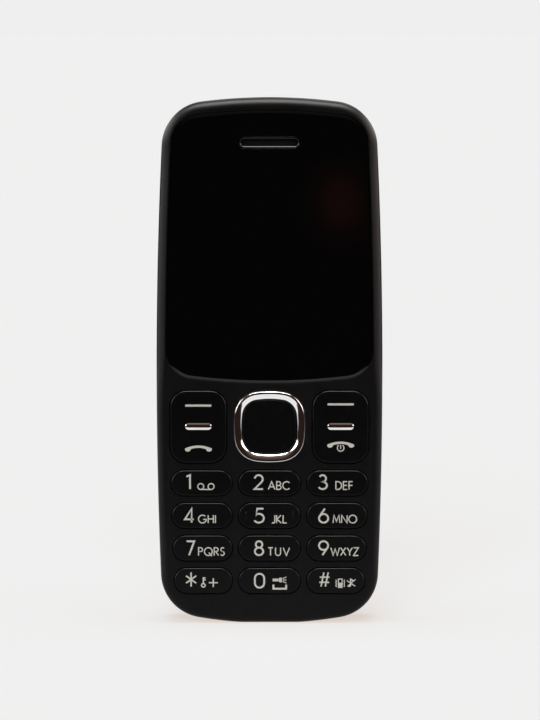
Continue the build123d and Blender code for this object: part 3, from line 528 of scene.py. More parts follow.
@dataclass(frozen=True)
class Finish:
    """One finish of the phone, with its grain, flecks and marks of handling."""

    name: str
    colour: Colour
    roughness: float
    tone: Colour | None = None
    metallic: float = 0.0
    grain_scale: float = 9000.0
    grain_height: float = 0.000006
    rough_spread: float = 0.08
    fleck_colour: Colour | None = None
    fleck_scale: float = 6000.0
    fleck_share: float = 0.1
    marks: float = 0.2
    coat: float = 0.0
    coat_roughness: float = 0.04
    specular: float = 0.5
    transmission: float = 0.0

    def make(self) -> bpy.types.Material:
        """Build the node material, or give the one built before.

        Returns:
            The material.
        """
        if self.name in bpy.data.materials:
            return bpy.data.materials[self.name]
        material = bpy.data.materials.new(self.name)
        material.use_nodes = True
        tree = material.node_tree
        shader = tree.nodes["Principled BSDF"]
        place = tree.nodes.new("ShaderNodeTexCoord").outputs["Object"]
        grain = self._group(tree, grain_group(), place, {"Scale": self.grain_scale})
        marks = self._group(tree, handling_group(), place, {"Amount": self.marks})
        colour = mix(tree, grain.outputs["Tone"], self.colour, self.tone or self._lighter())
        if self.fleck_colour is not None:
            flecks = self._group(
                tree, fleck_group(), place, {"Scale": self.fleck_scale, "Threshold": self.fleck_share}
            )
            colour = mix(tree, flecks.outputs["Mask"], colour, self.fleck_colour)
        tree.links.new(colour, shader.inputs["Base Color"])
        low = self.roughness - self.rough_spread / 2
        rough = maths(tree, "MULTIPLY_ADD", grain.outputs["Tone"], self.rough_spread, low)
        rough = maths(tree, "ADD", rough, marks.outputs["Mask"])
        tree.links.new(maths(tree, "MINIMUM", rough, 1.0), shader.inputs["Roughness"])
        plain = {
            "Metallic": self.metallic, "Coat Weight": self.coat, "Coat Roughness": self.coat_roughness,
            "Specular IOR Level": self.specular, "Transmission Weight": self.transmission,
        }
        for key, value in plain.items():
            shader.inputs[key].default_value = value
        if self.grain_height > 0:
            bump = tree.nodes.new("ShaderNodeBump")
            bump.inputs["Distance"].default_value = self.grain_height
            bump.inputs["Strength"].default_value = 1.0
            tree.links.new(grain.outputs["Height"], bump.inputs["Height"])
            tree.links.new(bump.outputs["Normal"], shader.inputs["Normal"])
        return material

    def _lighter(self) -> Colour:
        """Give the finish's colour a little lighter, for the slow wander of its tone."""
        rise, least = 1.25, 0.001
        return tuple(min(1.0, c * rise + least) for c in self.colour)

    @staticmethod
    def _group(
        tree: Tree, inner: Tree, place: Socket, values: dict[str, float]
    ) -> bpy.types.ShaderNodeGroup:
        """Place a node group in a material.

        Args:
            tree: The material's tree.
            inner: The group.
            place: Coordinates.
            values: Values of its inputs.

        Returns:
            The group node.
        """
        node = tree.nodes.new("ShaderNodeGroup")
        node.node_tree = inner
        tree.links.new(place, node.inputs["Vector"])
        for key, value in values.items():
            node.inputs[key].default_value = value
        return node


MOULDED_BLACK = Finish("plain_black_moulding", (0.012, 0.012, 0.012), 0.45, grain_scale=5000.0)
PRINT = Finish(
    "warm_white_print", (0.51, 0.468, 0.402), 0.5, grain_scale=15000.0, grain_height=0.000002, marks=0.05
)
BY_SLOT: dict[str, Finish] = {
    "housing": Finish(
        "grained_black_housing", (0.0022, 0.0021, 0.0022), 0.39, fleck_colour=(0.03, 0.029, 0.028),
        fleck_scale=7000.0, fleck_share=0.1, grain_height=0.000004, marks=0.06, specular=0.115,
    ),
    "key": Finish(
        "satin_black_key", (0.0022, 0.002, 0.0021), 0.25, grain_scale=12000.0,
        grain_height=0.0000008, marks=0.05, specular=0.1,
    ),
    "window": Finish(
        "polished_black_window", (0.001, 0.001, 0.0011), 0.03, tone=(0.0012, 0.0012, 0.0013),
        rough_spread=0.01, grain_height=0.0, marks=0.04, specular=0.4,
    ),
    "plating": Finish(
        "bright_plating", (0.78, 0.77, 0.765), 0.06, metallic=1.0, rough_spread=0.03,
        grain_height=0.0, marks=0.05,
    ),
    "adhesive": Finish(
        "black_foam", (0.015, 0.015, 0.015), 0.9, grain_scale=3500.0, grain_height=0.00004
    ),
    "display": Finish(
        "dark_display_panel", (0.012, 0.013, 0.018), 0.15, grain_scale=6000.0, grain_height=0.0, coat=0.4
    ),
    "tray": Finish("off_white_moulding", (0.6, 0.58, 0.53), 0.5, grain_scale=4000.0),
    "flex": Finish("amber_flex_film", (0.4, 0.17, 0.03), 0.3, grain_scale=3000.0, coat=0.3),
    "silicone": Finish("translucent_silicone", (0.42, 0.43, 0.43), 0.6, grain_scale=2500.0),
    "domes": Finish(
        "domes_under_film", (0.5, 0.5, 0.49), 0.35, metallic=0.8, grain_scale=2500.0,
        grain_height=0.000002,
    ),
    "board": Finish(
        "green_solder_mask", (0.01, 0.1, 0.045), 0.3, tone=(0.02, 0.15, 0.07), grain_scale=900.0,
        coat=0.3,
    ),
    "steel": Finish(
        "stamped_steel", (0.45, 0.45, 0.44), 0.28, metallic=1.0, rough_spread=0.1, grain_scale=3000.0,
        grain_height=0.000002,
    ),
    "screw": Finish(
        "blackened_screw_steel", (0.06, 0.06, 0.062), 0.35, metallic=1.0, grain_scale=4000.0
    ),
    "cell": Finish("wrapped_cell", (0.05, 0.05, 0.055), 0.42, grain_scale=2500.0, marks=0.3),
    "cap": MOULDED_BLACK,
    "contact": Finish(
        "gold_plated_contact", (0.8, 0.55, 0.2), 0.2, metallic=1.0, grain_scale=4000.0,
        grain_height=0.000002,
    ),
    "mesh": Finish(
        "black_woven_mesh", (0.002, 0.002, 0.002), 0.7, grain_scale=5000.0, grain_height=0.00002,
        specular=0.1,
    ),
    "speaker": MOULDED_BLACK,
    "weight": Finish(
        "sintered_weight", (0.22, 0.22, 0.23), 0.5, metallic=1.0, grain_scale=5000.0,
        grain_height=0.00001,
    ),
    "lens": Finish(
        "clear_torch_lens", (0.9, 0.92, 0.92), 0.08, transmission=0.9, grain_height=0.0, marks=0.03
    ),
    "lamp": Finish("phosphor_lamp", (0.85, 0.65, 0.12), 0.4, grain_scale=6000.0),
    "capsule": Finish(
        "drawn_capsule", (0.6, 0.6, 0.59), 0.3, metallic=1.0, grain_scale=3500.0, grain_height=0.000002
    ),
    "carrier": MOULDED_BLACK,
}


def dress(piece: Piece, finish: Finish) -> None:
    """Give a piece one finish on all its faces."""
    piece.data.materials.clear()
    piece.data.materials.append(finish.make())


def fit(piece: Piece, body: str, slot: str, *nodes: str) -> None:
    """Dress a piece, let it ride on its body and let it stand for its solids.

    Args:
        piece: The new piece.
        body: Body that carries it.
        slot: The record's slot that gives its finish.
        nodes: Solids that it replaces.
    """
    dress(piece, BY_SLOT[slot])
    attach(piece, body)
    if nodes:
        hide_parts(*nodes)
    log.info("%s rides on %s", piece.name, body)


@dataclass(frozen=True)
class KeyForm:
    """Flange and rounded front edge of a key, as depths and sizes."""

    back: float
    front: float
    edge: float
    rows: int
    deep: float
    flange: float = 0.4

    def profile(self, inset: float, face: float) -> list[Point]:
        """Give the profile of a key from the back of its flange to its face.

        Args:
            inset: Inset of the key's wall.
            face: Depth of its face.

        Returns:
            Insets and depths.
        """
        start = flanged(inset, self.flange, self.back, self.front)
        return start + quarter(inset, face, self.edge, self.rows, self.deep)


@dataclass
class Keypad:
    """Places of the number keys and the form of their caps."""

    middle_width: float = 12.55
    column_gap: float = 1.345
    side_margin: float = 2.75
    bottom_row: float = 8.75
    pitch: float = 6.68
    tall: float = 5.2
    proud: float = 0.35
    form: KeyForm = KeyForm(back=1.75, front=1.25, edge=0.3, rows=7, deep=0.24)
    gap: float = 0.15
    names: tuple[tuple[str, str, str], ...] = (
        ("key_star", "key_0", "key_hash"),
        ("key_7", "key_8", "key_9"),
        ("key_4", "key_5", "key_6"),
        ("key_1", "key_2", "key_3"),
    )
    nib_margin: float = 1.5
    nib_width: float = 0.3
    nib_tall: float = 1.6
    nib_steps: int = 6
    nib_profile: tuple[Point, ...] = ((0.0, 0.02), (0.0, -0.06), (0.08, -0.115))  # from the key's face

    def cap(self, row: int, column: int) -> RoundedBox:
        """Outline of one key.

        Args:
            row: Row from the bottom.
            column: 0 on the left, 2 on the right.

        Returns:
            A stadium.
        """
        height = self.bottom_row + self.pitch * row
        if column == 1:
            return RoundedBox(0, height, self.middle_width, self.tall, self.tall / 2)
        inner = self.middle_width / 2 + self.column_gap
        bow = math.sqrt(BODY.side_radius**2 - (height - BODY.side_height) ** 2)
        side = BODY.half_width - BODY.side_radius + bow
        outer = side - self.side_margin
        x = (column - 1) * (inner + outer) / 2
        return RoundedBox(x, height, outer - inner, self.tall, self.tall / 2)

    def holes(self) -> list[RoundedBox]:
        """Outlines of the openings in the front housing."""
        more = 2 * self.gap
        grown = self.tall + more
        places = [(row, column) for row, names in enumerate(self.names) for column in range(len(names))]
        caps = [self.cap(row, column) for row, column in places]
        return [RoundedBox(cap.x, cap.height, cap.width + more, grown, grown / 2) for cap in caps]

    def build(self) -> None:
        """Make the twelve caps with the raised nibs of the middle one."""
        for row, names in enumerate(self.names):
            for column, name in enumerate(names):
                skin = Skin()
                cap = self.cap(row, column)
                skin.plug(cap, self.form.profile(0.0, -self.proud))
                fit(skin.build(name + "_cap"), name, "key", name)
                if name == "key_5":
                    self._nibs(cap)

    def _nibs(self, cap: RoundedBox) -> None:
        """Make the two finding nibs on the middle key."""
        skin = Skin()
        for side in (-1, 1):
            x = cap.x + side * (cap.width / 2 - self.nib_margin)
            nib = RoundedBox(
                x, cap.height, self.nib_width, self.nib_tall, self.nib_width / 2, self.nib_steps
            )
            skin.plug(nib, [(inset, rise - self.proud) for inset, rise in self.nib_profile])
        fit(skin.build("key_5_nibs"), "key_5", "key")


@dataclass
class Pad:
    """Four-way ring with its middle key, and the two rockers beside it."""

    centre: float = 40.3
    ring_half: float = 7.2
    ring_bow: float = 20.0
    ring_corner: float = 4.9
    band: float = 1.5
    slope_start: float = 0.45
    slope_lead: float = 0.02
    crease: float = 12.0  # degrees at the start of the slope
    slope_end: float = 54.0  # degrees beside the middle key
    ring_gap: float = 0.2
    select_gap: float = 0.17
    rocker_x: float = 14.475
    rocker_width: float = 11.35
    rocker_tall: float = 14.75
    rocker_corner: float = 3.3
    proud: float = 0.35
    bar_width: float = 5.3
    bar_tall: float = 1.36
    bar_lift: float = 0.1
    bar_foot: float = 0.1
    bar_reach: float = 0.68
    bar_crown: float = 0.14
    bar_power: float = 2.2
    bar_steps: int = 12
    ring_front: float = -0.45
    ring_edge: tuple[Point, ...] = (  # insets and depths of the rounded outer edge
        (0.0, -0.35), (0.015, -0.4), (0.05, -0.434), (0.1, -0.448), (0.16, -0.45)
    )
    ring_power: float = 3.4  # how late the slope steepens
    ring_steps: int = 16
    ring_flange: float = 0.45
    middle_face: float = -0.05
    middle_form: KeyForm = KeyForm(back=2.7, front=2.3, edge=0.3, rows=6, deep=0.2)
    rocker_form: KeyForm = KeyForm(back=1.95, front=1.55, edge=0.35, rows=7, deep=0.26)
    sharp: float = 60.0
    corner_steps: int = 18

    def ring(self, grow: float = 0.0) -> BowedBox:
        """Outline of the ring, grown for its opening."""
        half = self.ring_half + grow
        bow = self.ring_bow + grow
        corner = self.ring_corner + grow
        high = self.centre + half
        return BowedBox(half, bow, self.centre, high, bow, self.centre - half, bow, corner, corner)

    def rocker(self, side: Side, grow: float = 0.0) -> RoundedBox:
        """Outline of one rocker, grown for its opening."""
        wide, tall = self.rocker_width + 2 * grow, self.rocker_tall + 2 * grow
        x, corner = side.sign * self.rocker_x, self.rocker_corner + grow
        return RoundedBox(x, self.centre, wide, tall, corner, self.corner_steps)

    def holes(self) -> list[Shape]:
        """Outlines of the openings in the front housing."""
        gap = self.ring_gap
        return [self.rocker(Side.LEFT, gap), self.ring(gap), self.rocker(Side.RIGHT, gap)]

    def build(self) -> None:
        """Make the ring, the middle key, the rockers and their bars."""
        self._ring()
        skin = Skin()
        inset = self.band + self.select_gap
        skin.plug(self.ring(), self.middle_form.profile(inset, self.middle_face))
        fit(skin.build("middle_key"), "select_key", "key", "select_key")
        for side in Side:
            self._rocker(side)

    def _ring(self) -> None:
        """Make the ring: a flat rim in front of a slope that steepens towards the middle key."""
        skin = Skin()
        front, first = self.ring_front, self.slope_start
        back = self.rocker_form.back
        profile = flanged(0.0, self.ring_flange, back, self.rocker_form.front)
        profile += [*self.ring_edge, (first - self.slope_lead, front)]
        step = (self.band - first) / self.ring_steps
        depth = front
        for i in range(self.ring_steps + 1):
            profile.append((first + step * i, depth))
            share = (i / self.ring_steps) ** self.ring_power
            tilt = self.crease + (self.slope_end - self.crease) * share
            depth += step * math.tan(math.radians(tilt))
        profile.append((self.band, back))
        loops = skin.rows(self.ring(), profile)
        skin.strip(loops[-1], loops[0])
        fit(skin.build("chrome_ring", self.sharp), "nav_ring", "plating", "nav_ring")

    def _rocker(self, side: Side) -> None:
        """Make one rocker and its plated bar.

        Args:
            side: Where it is.
        """
        skin = Skin()
        skin.plug(self.rocker(side), self.rocker_form.profile(0.0, -self.proud))
        body = side.word + "_rocker"
        fit(skin.build(body + "_cap"), body, "key", body + "_key")
        x = side.sign * self.rocker_x
        bar = RoundedBox(
            x, self.centre + self.bar_lift, self.bar_width, self.bar_tall, self.bar_tall / 2
        )
        skin = Skin()
        front = -self.proud
        profile = [(0.0, front + self.bar_foot)]
        for i in range(self.bar_steps + 1):
            share = 1 - i / self.bar_steps
            crown = self.bar_crown * (1 - share**self.bar_power)
            profile.append((self.bar_reach * (1 - share), front - crown))
        skin.plug(bar, profile)
        fit(skin.build(side.word + "_plated_bar", self.sharp), body, "plating", body + "_trim")


@dataclass
class FrontShell:
    """Front housing with its rounded rim, the window's recess and the key openings."""

    rim: float = 1.6
    split: float = 4.6
    tongue_inset: float = 0.65
    tongue: float = 0.7
    wall: float = 1.3
    plate: float = 1.2
    shelf: float = 1.0
    lip: float = 0.12
    land: float = 0.04
    window_gap: float = 0.1
    aperture_width: float = 29.6
    aperture_tall: float = 39.6
    aperture_height: float = 72.8
    side_slope: float = 0.4
    slope_low: float = 47.0
    slope_low_run: float = 7.0
    slope_high: float = 104.0
    slope_high_run: float = 10.0
    rim_rows: int = 12
    lip_share: float = 0.3
    recess_edge: tuple[Point, ...] = ((0.12, 0.0), (0.1, 0.0), (0.03, 0.03), (0.0, 0.08))  # outwards, depth
    aperture_corner: float = 0.3
    aperture_steps: int = 3

    def build(self, holes: list[Shape]) -> None:
        """Make the housing.

        Args:
            holes: Outlines of the key openings.
        """
        skin = Skin()
        step = self.split - self.tongue
        profile = [(self.wall, self.plate), (self.wall, step), (self.tongue_inset, step)]
        profile += [(self.tongue_inset, self.split), (0.0, self.split)]
        profile += quarter(0.0, 0.0, self.rim, self.rim_rows)
        loops = skin.rows(BODY, profile)
        for (inset, depth), loop in zip(profile, loops):
            if depth < self.rim:
                self._slope(skin, loop, inset)
        front: list[Loop] = []
        back: list[Loop] = []
        soft = self.lip * self.lip_share
        lip = [(-self.lip - self.land, 0.0), (-self.lip, 0.0), (-soft, soft)]
        for hole in holes:
            rows = skin.rows(hole, lip + [(0.0, self.lip), (0.0, self.plate)])
            front.append(rows[0])
            back.append(rows[-1])
        edge = [(-self.window_gap - out, depth) for out, depth in self.recess_edge]
        recess = skin.rows(WINDOW, edge + [(-self.window_gap, self.shelf)])
        front.append(recess[0])
        aperture = RoundedBox(
            0, self.aperture_height, self.aperture_width, self.aperture_tall,
            self.aperture_corner, self.aperture_steps,
        )
        inner = skin.rows(aperture, [(0.0, self.shelf), (0.0, self.plate)])
        skin.cap(recess[-1], [inner[0]])
        back.append(inner[-1])
        skin.cap(loops[-1], front)
        skin.cap(loops[0], back)
        fit(skin.build("front_shell"), "phone_body", "housing", "front_housing")

    def _slope(self, skin: Skin, loop: Loop, inset: float) -> None:
        """Let the rim fall away beside the window.

        Args:
            skin: Mesh with the loop.
            loop: One outline of the rim.
            inset: Its inset.
        """
        drop = self.side_slope * (self.rim * FLAT_STEP - inset)
        for i in loop:
            x, y, z = skin.points[i]
            rise = min(1.0, max(0.0, (z - self.slope_low) / self.slope_low_run))
            fade = min(1.0, max(0.0, (self.slope_high - z) / self.slope_high_run))
            skin.points[i] = (x, y + drop * rise * fade, z)


@dataclass
class Window:
    """Glossy window with a bevelled rim and the earpiece slot."""

    thick: float = 0.85
    bevel: float = 0.55
    bevel_drop: float = 0.13
    lead: float = 0.03
    land: float = 0.05
    slot_height: float = 98.1
    slot_width: float = 11.7
    slot_tall: float = 1.5
    rim_profile: tuple[Point, ...] = ((0.2, 0.62), (0.38, 0.27))  # insets and shares of the drop
    slot_profile: tuple[Point, ...] = (  # a groove round the slot, then its rounded edge
        (-0.5, 0.0), (-0.48, 0.0), (-0.43, 0.05), (-0.38, 0.0), (-0.15, 0.0), (-0.1, 0.03),
        (-0.03, 0.08), (0.0, 0.14),
    )

    def build(self) -> None:
        """Make the pane with its bevel and the grooved edge of the slot."""
        skin = Skin()
        drop = self.bevel_drop
        profile = [(0.0, self.thick), (0.0, drop + self.lead), (0.02, drop)]
        profile += [(inset, drop * share) for inset, share in self.rim_profile]
        profile += [(0.5, 0.02), (self.bevel, 0.0), (self.bevel + self.land, 0.0)]
        loops = skin.rows(WINDOW, profile)
        slot = RoundedBox(0, self.slot_height, self.slot_width, self.slot_tall, self.slot_tall / 2)
        inner = skin.rows(slot, [*self.slot_profile, (0.0, self.thick)])
        skin.cap(loops[0], [inner[-1]])
        skin.cap(loops[-1], [inner[0]])
        fit(skin.build("window_pane"), "phone_body", "window", "display_window")


@dataclass
class BackShell:
    """Snap-off back cover with its rounded rim, loudspeaker slots and fingernail notch."""

    start: float = 10.06
    back: float = 13.5
    inside: float = 12.4
    rim: float = 3.1
    wall: float = 1.3
    skirt_inset: float = 0.75
    skirt: float = 9.3
    slot_x: float = 9.5
    slot_height: float = 92.0
    slot_pitch: float = 1.9
    slot_count: int = 4
    slot_width: float = 7.0
    slot_tall: float = 0.9
    notch_x: float = -9.5
    notch_radius: float = 12.0
    notch_bite: float = 0.9
    notch_depth: float = 1.1
    jack_x: float = 9.5
    relief_reach: float = 2.6
    relief: float = 0.5
    chamfer: float = 1.3
    rim_rows: int = 14
    slot_edge: tuple[Point, ...] = ((-0.16, 0.0), (-0.12, 0.0), (-0.04, 0.04), (0.0, 0.12))  # inset, depth
    slot_steps: int = 8

    def _relieve(self, skin: Skin, loop: Loop) -> None:
        """Shorten the skirt where the nose of the headphone jack passes under it."""
        for i in loop:
            x, y, z = skin.points[i]
            if abs(x - self.jack_x) < self.relief_reach and z < self.rim:
                skin.points[i] = (x, y + self.relief, z)

    def _bite(self, skin: Skin, loop: Loop) -> None:
        """Draw the lower edge of a loop in by the fingernail notch."""
        for i in loop:
            x, y, z = skin.points[i]
            across = self.notch_radius**2 - (x - self.notch_x) ** 2
            if across > 0:
                edge = self.notch_bite - self.notch_radius + math.sqrt(across)
                skin.points[i] = (x, y, max(z, edge))

    def build(self) -> None:
        """Make the cover."""
        skin = Skin()
        chamfer = self.chamfer
        profile = [(self.wall + chamfer, self.inside), (self.wall, self.inside - chamfer)]
        profile += [(self.wall, self.skirt), (self.skirt_inset, self.skirt)]
        profile += [(self.skirt_inset, self.start), (0.0, self.start)]
        profile += [(0.0, self.start + self.notch_depth)] * 2
        turn = quarter(0.0, 0.0, self.rim, self.rim_rows)
        profile += [(inset, self.back - depth) for inset, depth in turn]
        loops = skin.rows(BODY, profile)
        for loop in loops[2:4]:
            self._relieve(skin, loop)
        for loop in loops[5:7]:
            self._bite(skin, loop)
        outer: list[Loop] = []
        inner: list[Loop] = []
        first = self.slot_height - self.slot_pitch * (self.slot_count - 1) / 2
        for index in range(self.slot_count):
            height = first + index * self.slot_pitch
            slot = RoundedBox(
                self.slot_x, height, self.slot_width, self.slot_tall, self.slot_tall / 2, self.slot_steps
            )
            edge = [(inset, self.back - depth) for inset, depth in self.slot_edge]
            rows = skin.rows(slot, edge + [(0.0, self.inside)])
            outer.append(rows[0])
            inner.append(rows[-1])
        skin.cap(loops[-1], outer)
        skin.cap(loops[0], inner)
        fit(skin.build("back_shell"), "back_cover", "housing", "battery_cover")


Stroke = tuple[list[Point], bool]


def bend(
    x: float, z: float, across: float, up: float, start: float, stop: float, count: int = 22
) -> list[Point]:
    """Sample part of an ellipse.

    Args:
        x: Centre.
        z: Centre height.
        across: Half width.
        up: Half height.
        start: First angle in degrees.
        stop: Last angle in degrees.
        count: Number of steps.

    Returns:
        Points with both ends.
    """
    turns = [math.radians(start + (stop - start) * i / count) for i in range(count + 1)]
    return [(x + across * math.cos(a), z + up * math.sin(a)) for a in turns]


def oval(x: float, z: float, across: float, up: float) -> Stroke:
    """Closed ellipse."""
    return (bend(x, z, across, up, 90, 450, 40)[:-1], True)


def path(*points: Point) -> Stroke:
    """Open line through points."""
    return (list(points), False)


def glyph_strokes(mark: str) -> tuple[float, list[Stroke]]:
    """Centre lines of one character, drawn one unit high.

    Args:
        mark: The character.

    Returns:
        Its width and its strokes.
    """
    bowl = bend(0.24, 0.75, 0.26, 0.25, 90, -90)
    belly = bend(0.26, 0.25, 0.3, 0.25, 90, -90)
    table: dict[str, tuple[float, list[Stroke]]] = {
        "1": (0.2, [path((0, 0.9), (0.2, 1), (0.2, 0))]),
        "2": (0.62, [path(*bend(0.31, 0.71, 0.29, 0.29, 172, -38), (0, 0), (0.62, 0))]),
        "3": (0.6, [
            path(*bend(0.28, 0.76, 0.24, 0.24, 150, -90), *bend(0.28, 0.26, 0.31, 0.26, 90, -152))
        ]),
        "4": (0.68, [path((0.52, 0), (0.52, 1), (0, 0.24), (0.68, 0.24))]),
        "5": (0.6, [path((0.56, 1), (0.16, 1), (0.08, 0.55), *bend(0.26, 0.32, 0.33, 0.32, 118, -150))]),
        "6": (0.64, [oval(0.32, 0.31, 0.32, 0.31), path((0.06, 0.48), (0.4, 1))]),
        "7": (0.62, [path((0, 1), (0.62, 1), (0.2, 0))]),
        "8": (0.62, [oval(0.31, 0.77, 0.24, 0.23), oval(0.31, 0.27, 0.31, 0.27)]),
        "9": (0.64, [oval(0.32, 0.69, 0.32, 0.31), path((0.58, 0.52), (0.24, 0))]),
        "0": (0.62, [
            (bend(0.31, 0.66, 0.31, 0.34, 0, 180) + bend(0.31, 0.34, 0.31, 0.34, 180, 360), True)
        ]),
        "*": (0.72, [path((0.36, 0), (0.36, 1)), path((0, 0.24), (0.72, 0.76)),
                     path((0, 0.76), (0.72, 0.24))]),
        "#": (0.72, [path((0.12, 0), (0.32, 1)), path((0.42, 0), (0.62, 1)),
                     path((0.04, 0.66), (0.72, 0.66)), path((0, 0.3), (0.68, 0.3))]),
        "A": (0.84, [path((0, 0), (0.42, 1), (0.84, 0)), path((0.15, 0.33), (0.69, 0.33))]),
        "B": (0.56, [path((0, 0), (0, 1), *bowl), path((0, 0.5), *belly, (0, 0))]),
        "C": (0.86, [path(*bend(0.5, 0.5, 0.5, 0.5, 45, 315))]),
        "D": (0.72, [path((0, 0), (0, 1), *bend(0.22, 0.5, 0.5, 0.5, 90, -90), (0, 0))]),
        "E": (0.48, [path((0.48, 1), (0, 1), (0, 0), (0.48, 0)), path((0, 0.52), (0.46, 0.52))]),
        "F": (0.46, [path((0.46, 1), (0, 1), (0, 0)), path((0, 0.52), (0.44, 0.52))]),
        "G": (0.98, [path(*bend(0.5, 0.5, 0.5, 0.5, 45, 352), (0.98, 0.46), (0.6, 0.46))]),
        "H": (0.66, [path((0, 0), (0, 1)), path((0.66, 0), (0.66, 1)),
                     path((0, 0.52), (0.66, 0.52))]),
        "I": (0.02, [path((0.01, 0), (0.01, 1))]),
        "J": (0.34, [path((0.34, 1), *bend(0.16, 0.2, 0.18, 0.2, 0, -140))]),
        "K": (0.6, [path((0, 0), (0, 1)), path((0.56, 1), (0.04, 0.48), (0.6, 0))]),
        "L": (0.46, [path((0, 1), (0, 0), (0.46, 0))]),
        "M": (0.88, [path((0, 0), (0.12, 1), (0.44, 0.2), (0.76, 1), (0.88, 0))]),
        "N": (0.7, [path((0, 0), (0, 1), (0.7, 0), (0.7, 1))]),
        "O": (1.0, [oval(0.5, 0.5, 0.5, 0.5)]),
        "P": (0.5, [path((0, 0), (0, 1), *bowl, (0, 0.5))]),
        "Q": (1.0, [oval(0.5, 0.5, 0.5, 0.5), path((0.56, 0.36), (0.98, -0.08))]),
        "R": (0.56, [path((0, 0), (0, 1), *bowl, (0, 0.5)), path((0.2, 0.5), (0.56, 0))]),
        "S": (0.48, [
            path(*bend(0.25, 0.76, 0.2, 0.24, 35, 270), *bend(0.23, 0.26, 0.24, 0.26, 90, -150))
        ]),
        "T": (0.6, [path((0, 1), (0.6, 1)), path((0.3, 1), (0.3, 0))]),
        "U": (0.64, [path((0, 1), *bend(0.32, 0.32, 0.32, 0.32, 180, 360), (0.64, 1))]),
        "V": (0.8, [path((0, 1), (0.4, 0), (0.8, 1))]),
        "W": (1.1, [path((0, 1), (0.28, 0), (0.55, 0.86), (0.82, 0), (1.1, 1))]),
        "X": (0.66, [path((0, 0), (0.62, 1)), path((0, 1), (0.66, 0))]),
        "Y": (0.68, [path((0, 1), (0.34, 0.48), (0.68, 1)), path((0.34, 0.48), (0.34, 0))]),
        "Z": (0.62, [path((0, 1), (0.62, 1), (0, 0), (0.62, 0))]),
    }
    return table[mark]


@dataclass
class Print:
    """White print on one key: strokes and filled shapes in the plane of its face."""

    name: str
    body: str
    front: float
    thick: float = 0.01
    lift: float = 0.012
    step: float = 0.004
    levels: int = 4
    count: int = 0
    points: list[Place] = field(default_factory=list)
    faces: list[tuple[int, ...]] = field(default_factory=list)

    def _depth(self) -> float:
        """Depth of the next shape, so that shapes that cross lie on separate levels."""
        self.count += 1
        return FRONT_Y + self.front - self.lift - self.step * (self.count % self.levels)

    def stroke(self, line: list[Point], closed: bool, width: float) -> None:
        """Add a ribbon with mitred corners.

        Args:
            line: Its centre line.
            closed: Whether the line closes on itself.
            width: Width of the ribbon.
        """
        least, mitre = 1e-4, 0.45
        kept = [p for i, p in enumerate(line) if i == 0 or math.dist(p, line[i - 1]) > least]
        count, first, level = len(kept), len(self.points), self._depth()
        for i, here in enumerate(kept):
            spot = Vector(here)
            last = not closed and i == count - 1
            after = None if last else (Vector(kept[(i + 1) % count]) - spot).normalized()
            before = (spot - Vector(kept[i - 1])).normalized() if closed or i else after
            after = after or before
            along = (before + after).normalized()
            reach = width / 2 / max(mitre, along.dot(after))
            side = Vector((-along.y, along.x)) * reach
            for edge in (spot + side, spot - side):
                self.points.append((edge.x, level, edge.y))
        for i in range(count if closed else count - 1):
            a = first + 2 * i
            b = first + 2 * ((i + 1) % count)
            self.faces.append((a, b, b + 1, a + 1))

    def line(self, width: float, *points: Point) -> None:
        """Add an open line through points."""
        self.stroke(list(points), False, width)

    def fill(self, outline: list[Point]) -> None:
        """Add a filled outline."""
        first = len(self.points)
        level = self._depth()
        self.points += [(x, level, z) for x, z in outline]
        flat = [Vector((x, z, 0)) for x, z in outline]
        for triangle in tessellate_polygon([flat]):
            self.faces.append(tuple(first + i for i in triangle))

    def word(self, text: str, left: float, right: float, low: float, tall: float, width: float) -> None:
        """Write a word between two edges.

        Args:
            text: The word.
            left: Its left edge.
            right: Its right edge.
            low: Its lower edge.
            tall: Its height over the ink.
            width: Width of the strokes.
        """
        glyphs = [glyph_strokes(mark) for mark in text]
        scale = tall - width
        used = sum(wide for wide, _ in glyphs) * scale
        room = right - left - width
        several = len(glyphs) > 1
        gap = (room - used) / (len(glyphs) - 1) if several else 0.0
        stretch = 1.0 if several else room / used
        x = left + width / 2
        for wide, lines in glyphs:
            for line, closed in lines:
                moved = [(x + px * scale * stretch, low + width / 2 + pz * scale) for px, pz in line]
                self.stroke(moved, closed, width)
            x += wide * scale + gap

    @staticmethod
    def _face_front(work: Mesh) -> None:
        """Turn the faces that look backwards."""
        for face in work.faces:
            face.normal_update()
            if face.normal.y > 0:
                face.normal_flip()

    def make(self) -> None:
        """Turn the print into a thin piece on its key."""
        piece = mesh_piece(self.name, self.points, self.faces, self._face_front)
        plate = piece.modifiers.new("print_thickness", "SOLIDIFY")
        plate.thickness = self.thick * METRE
        plate.offset = -1.0
        dress(piece, PRINT)
        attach(piece, self.body)
        log.info("%s rides on %s", self.name, self.body)


@dataclass(frozen=True)
class Legend:
    """What one number key says, and the edges of its number and of its letters."""

    key: str
    number: str
    number_left: float
    number_right: float
    letters: str = ""
    letters_left: float = 0.0
    letters_right: float = 0.0


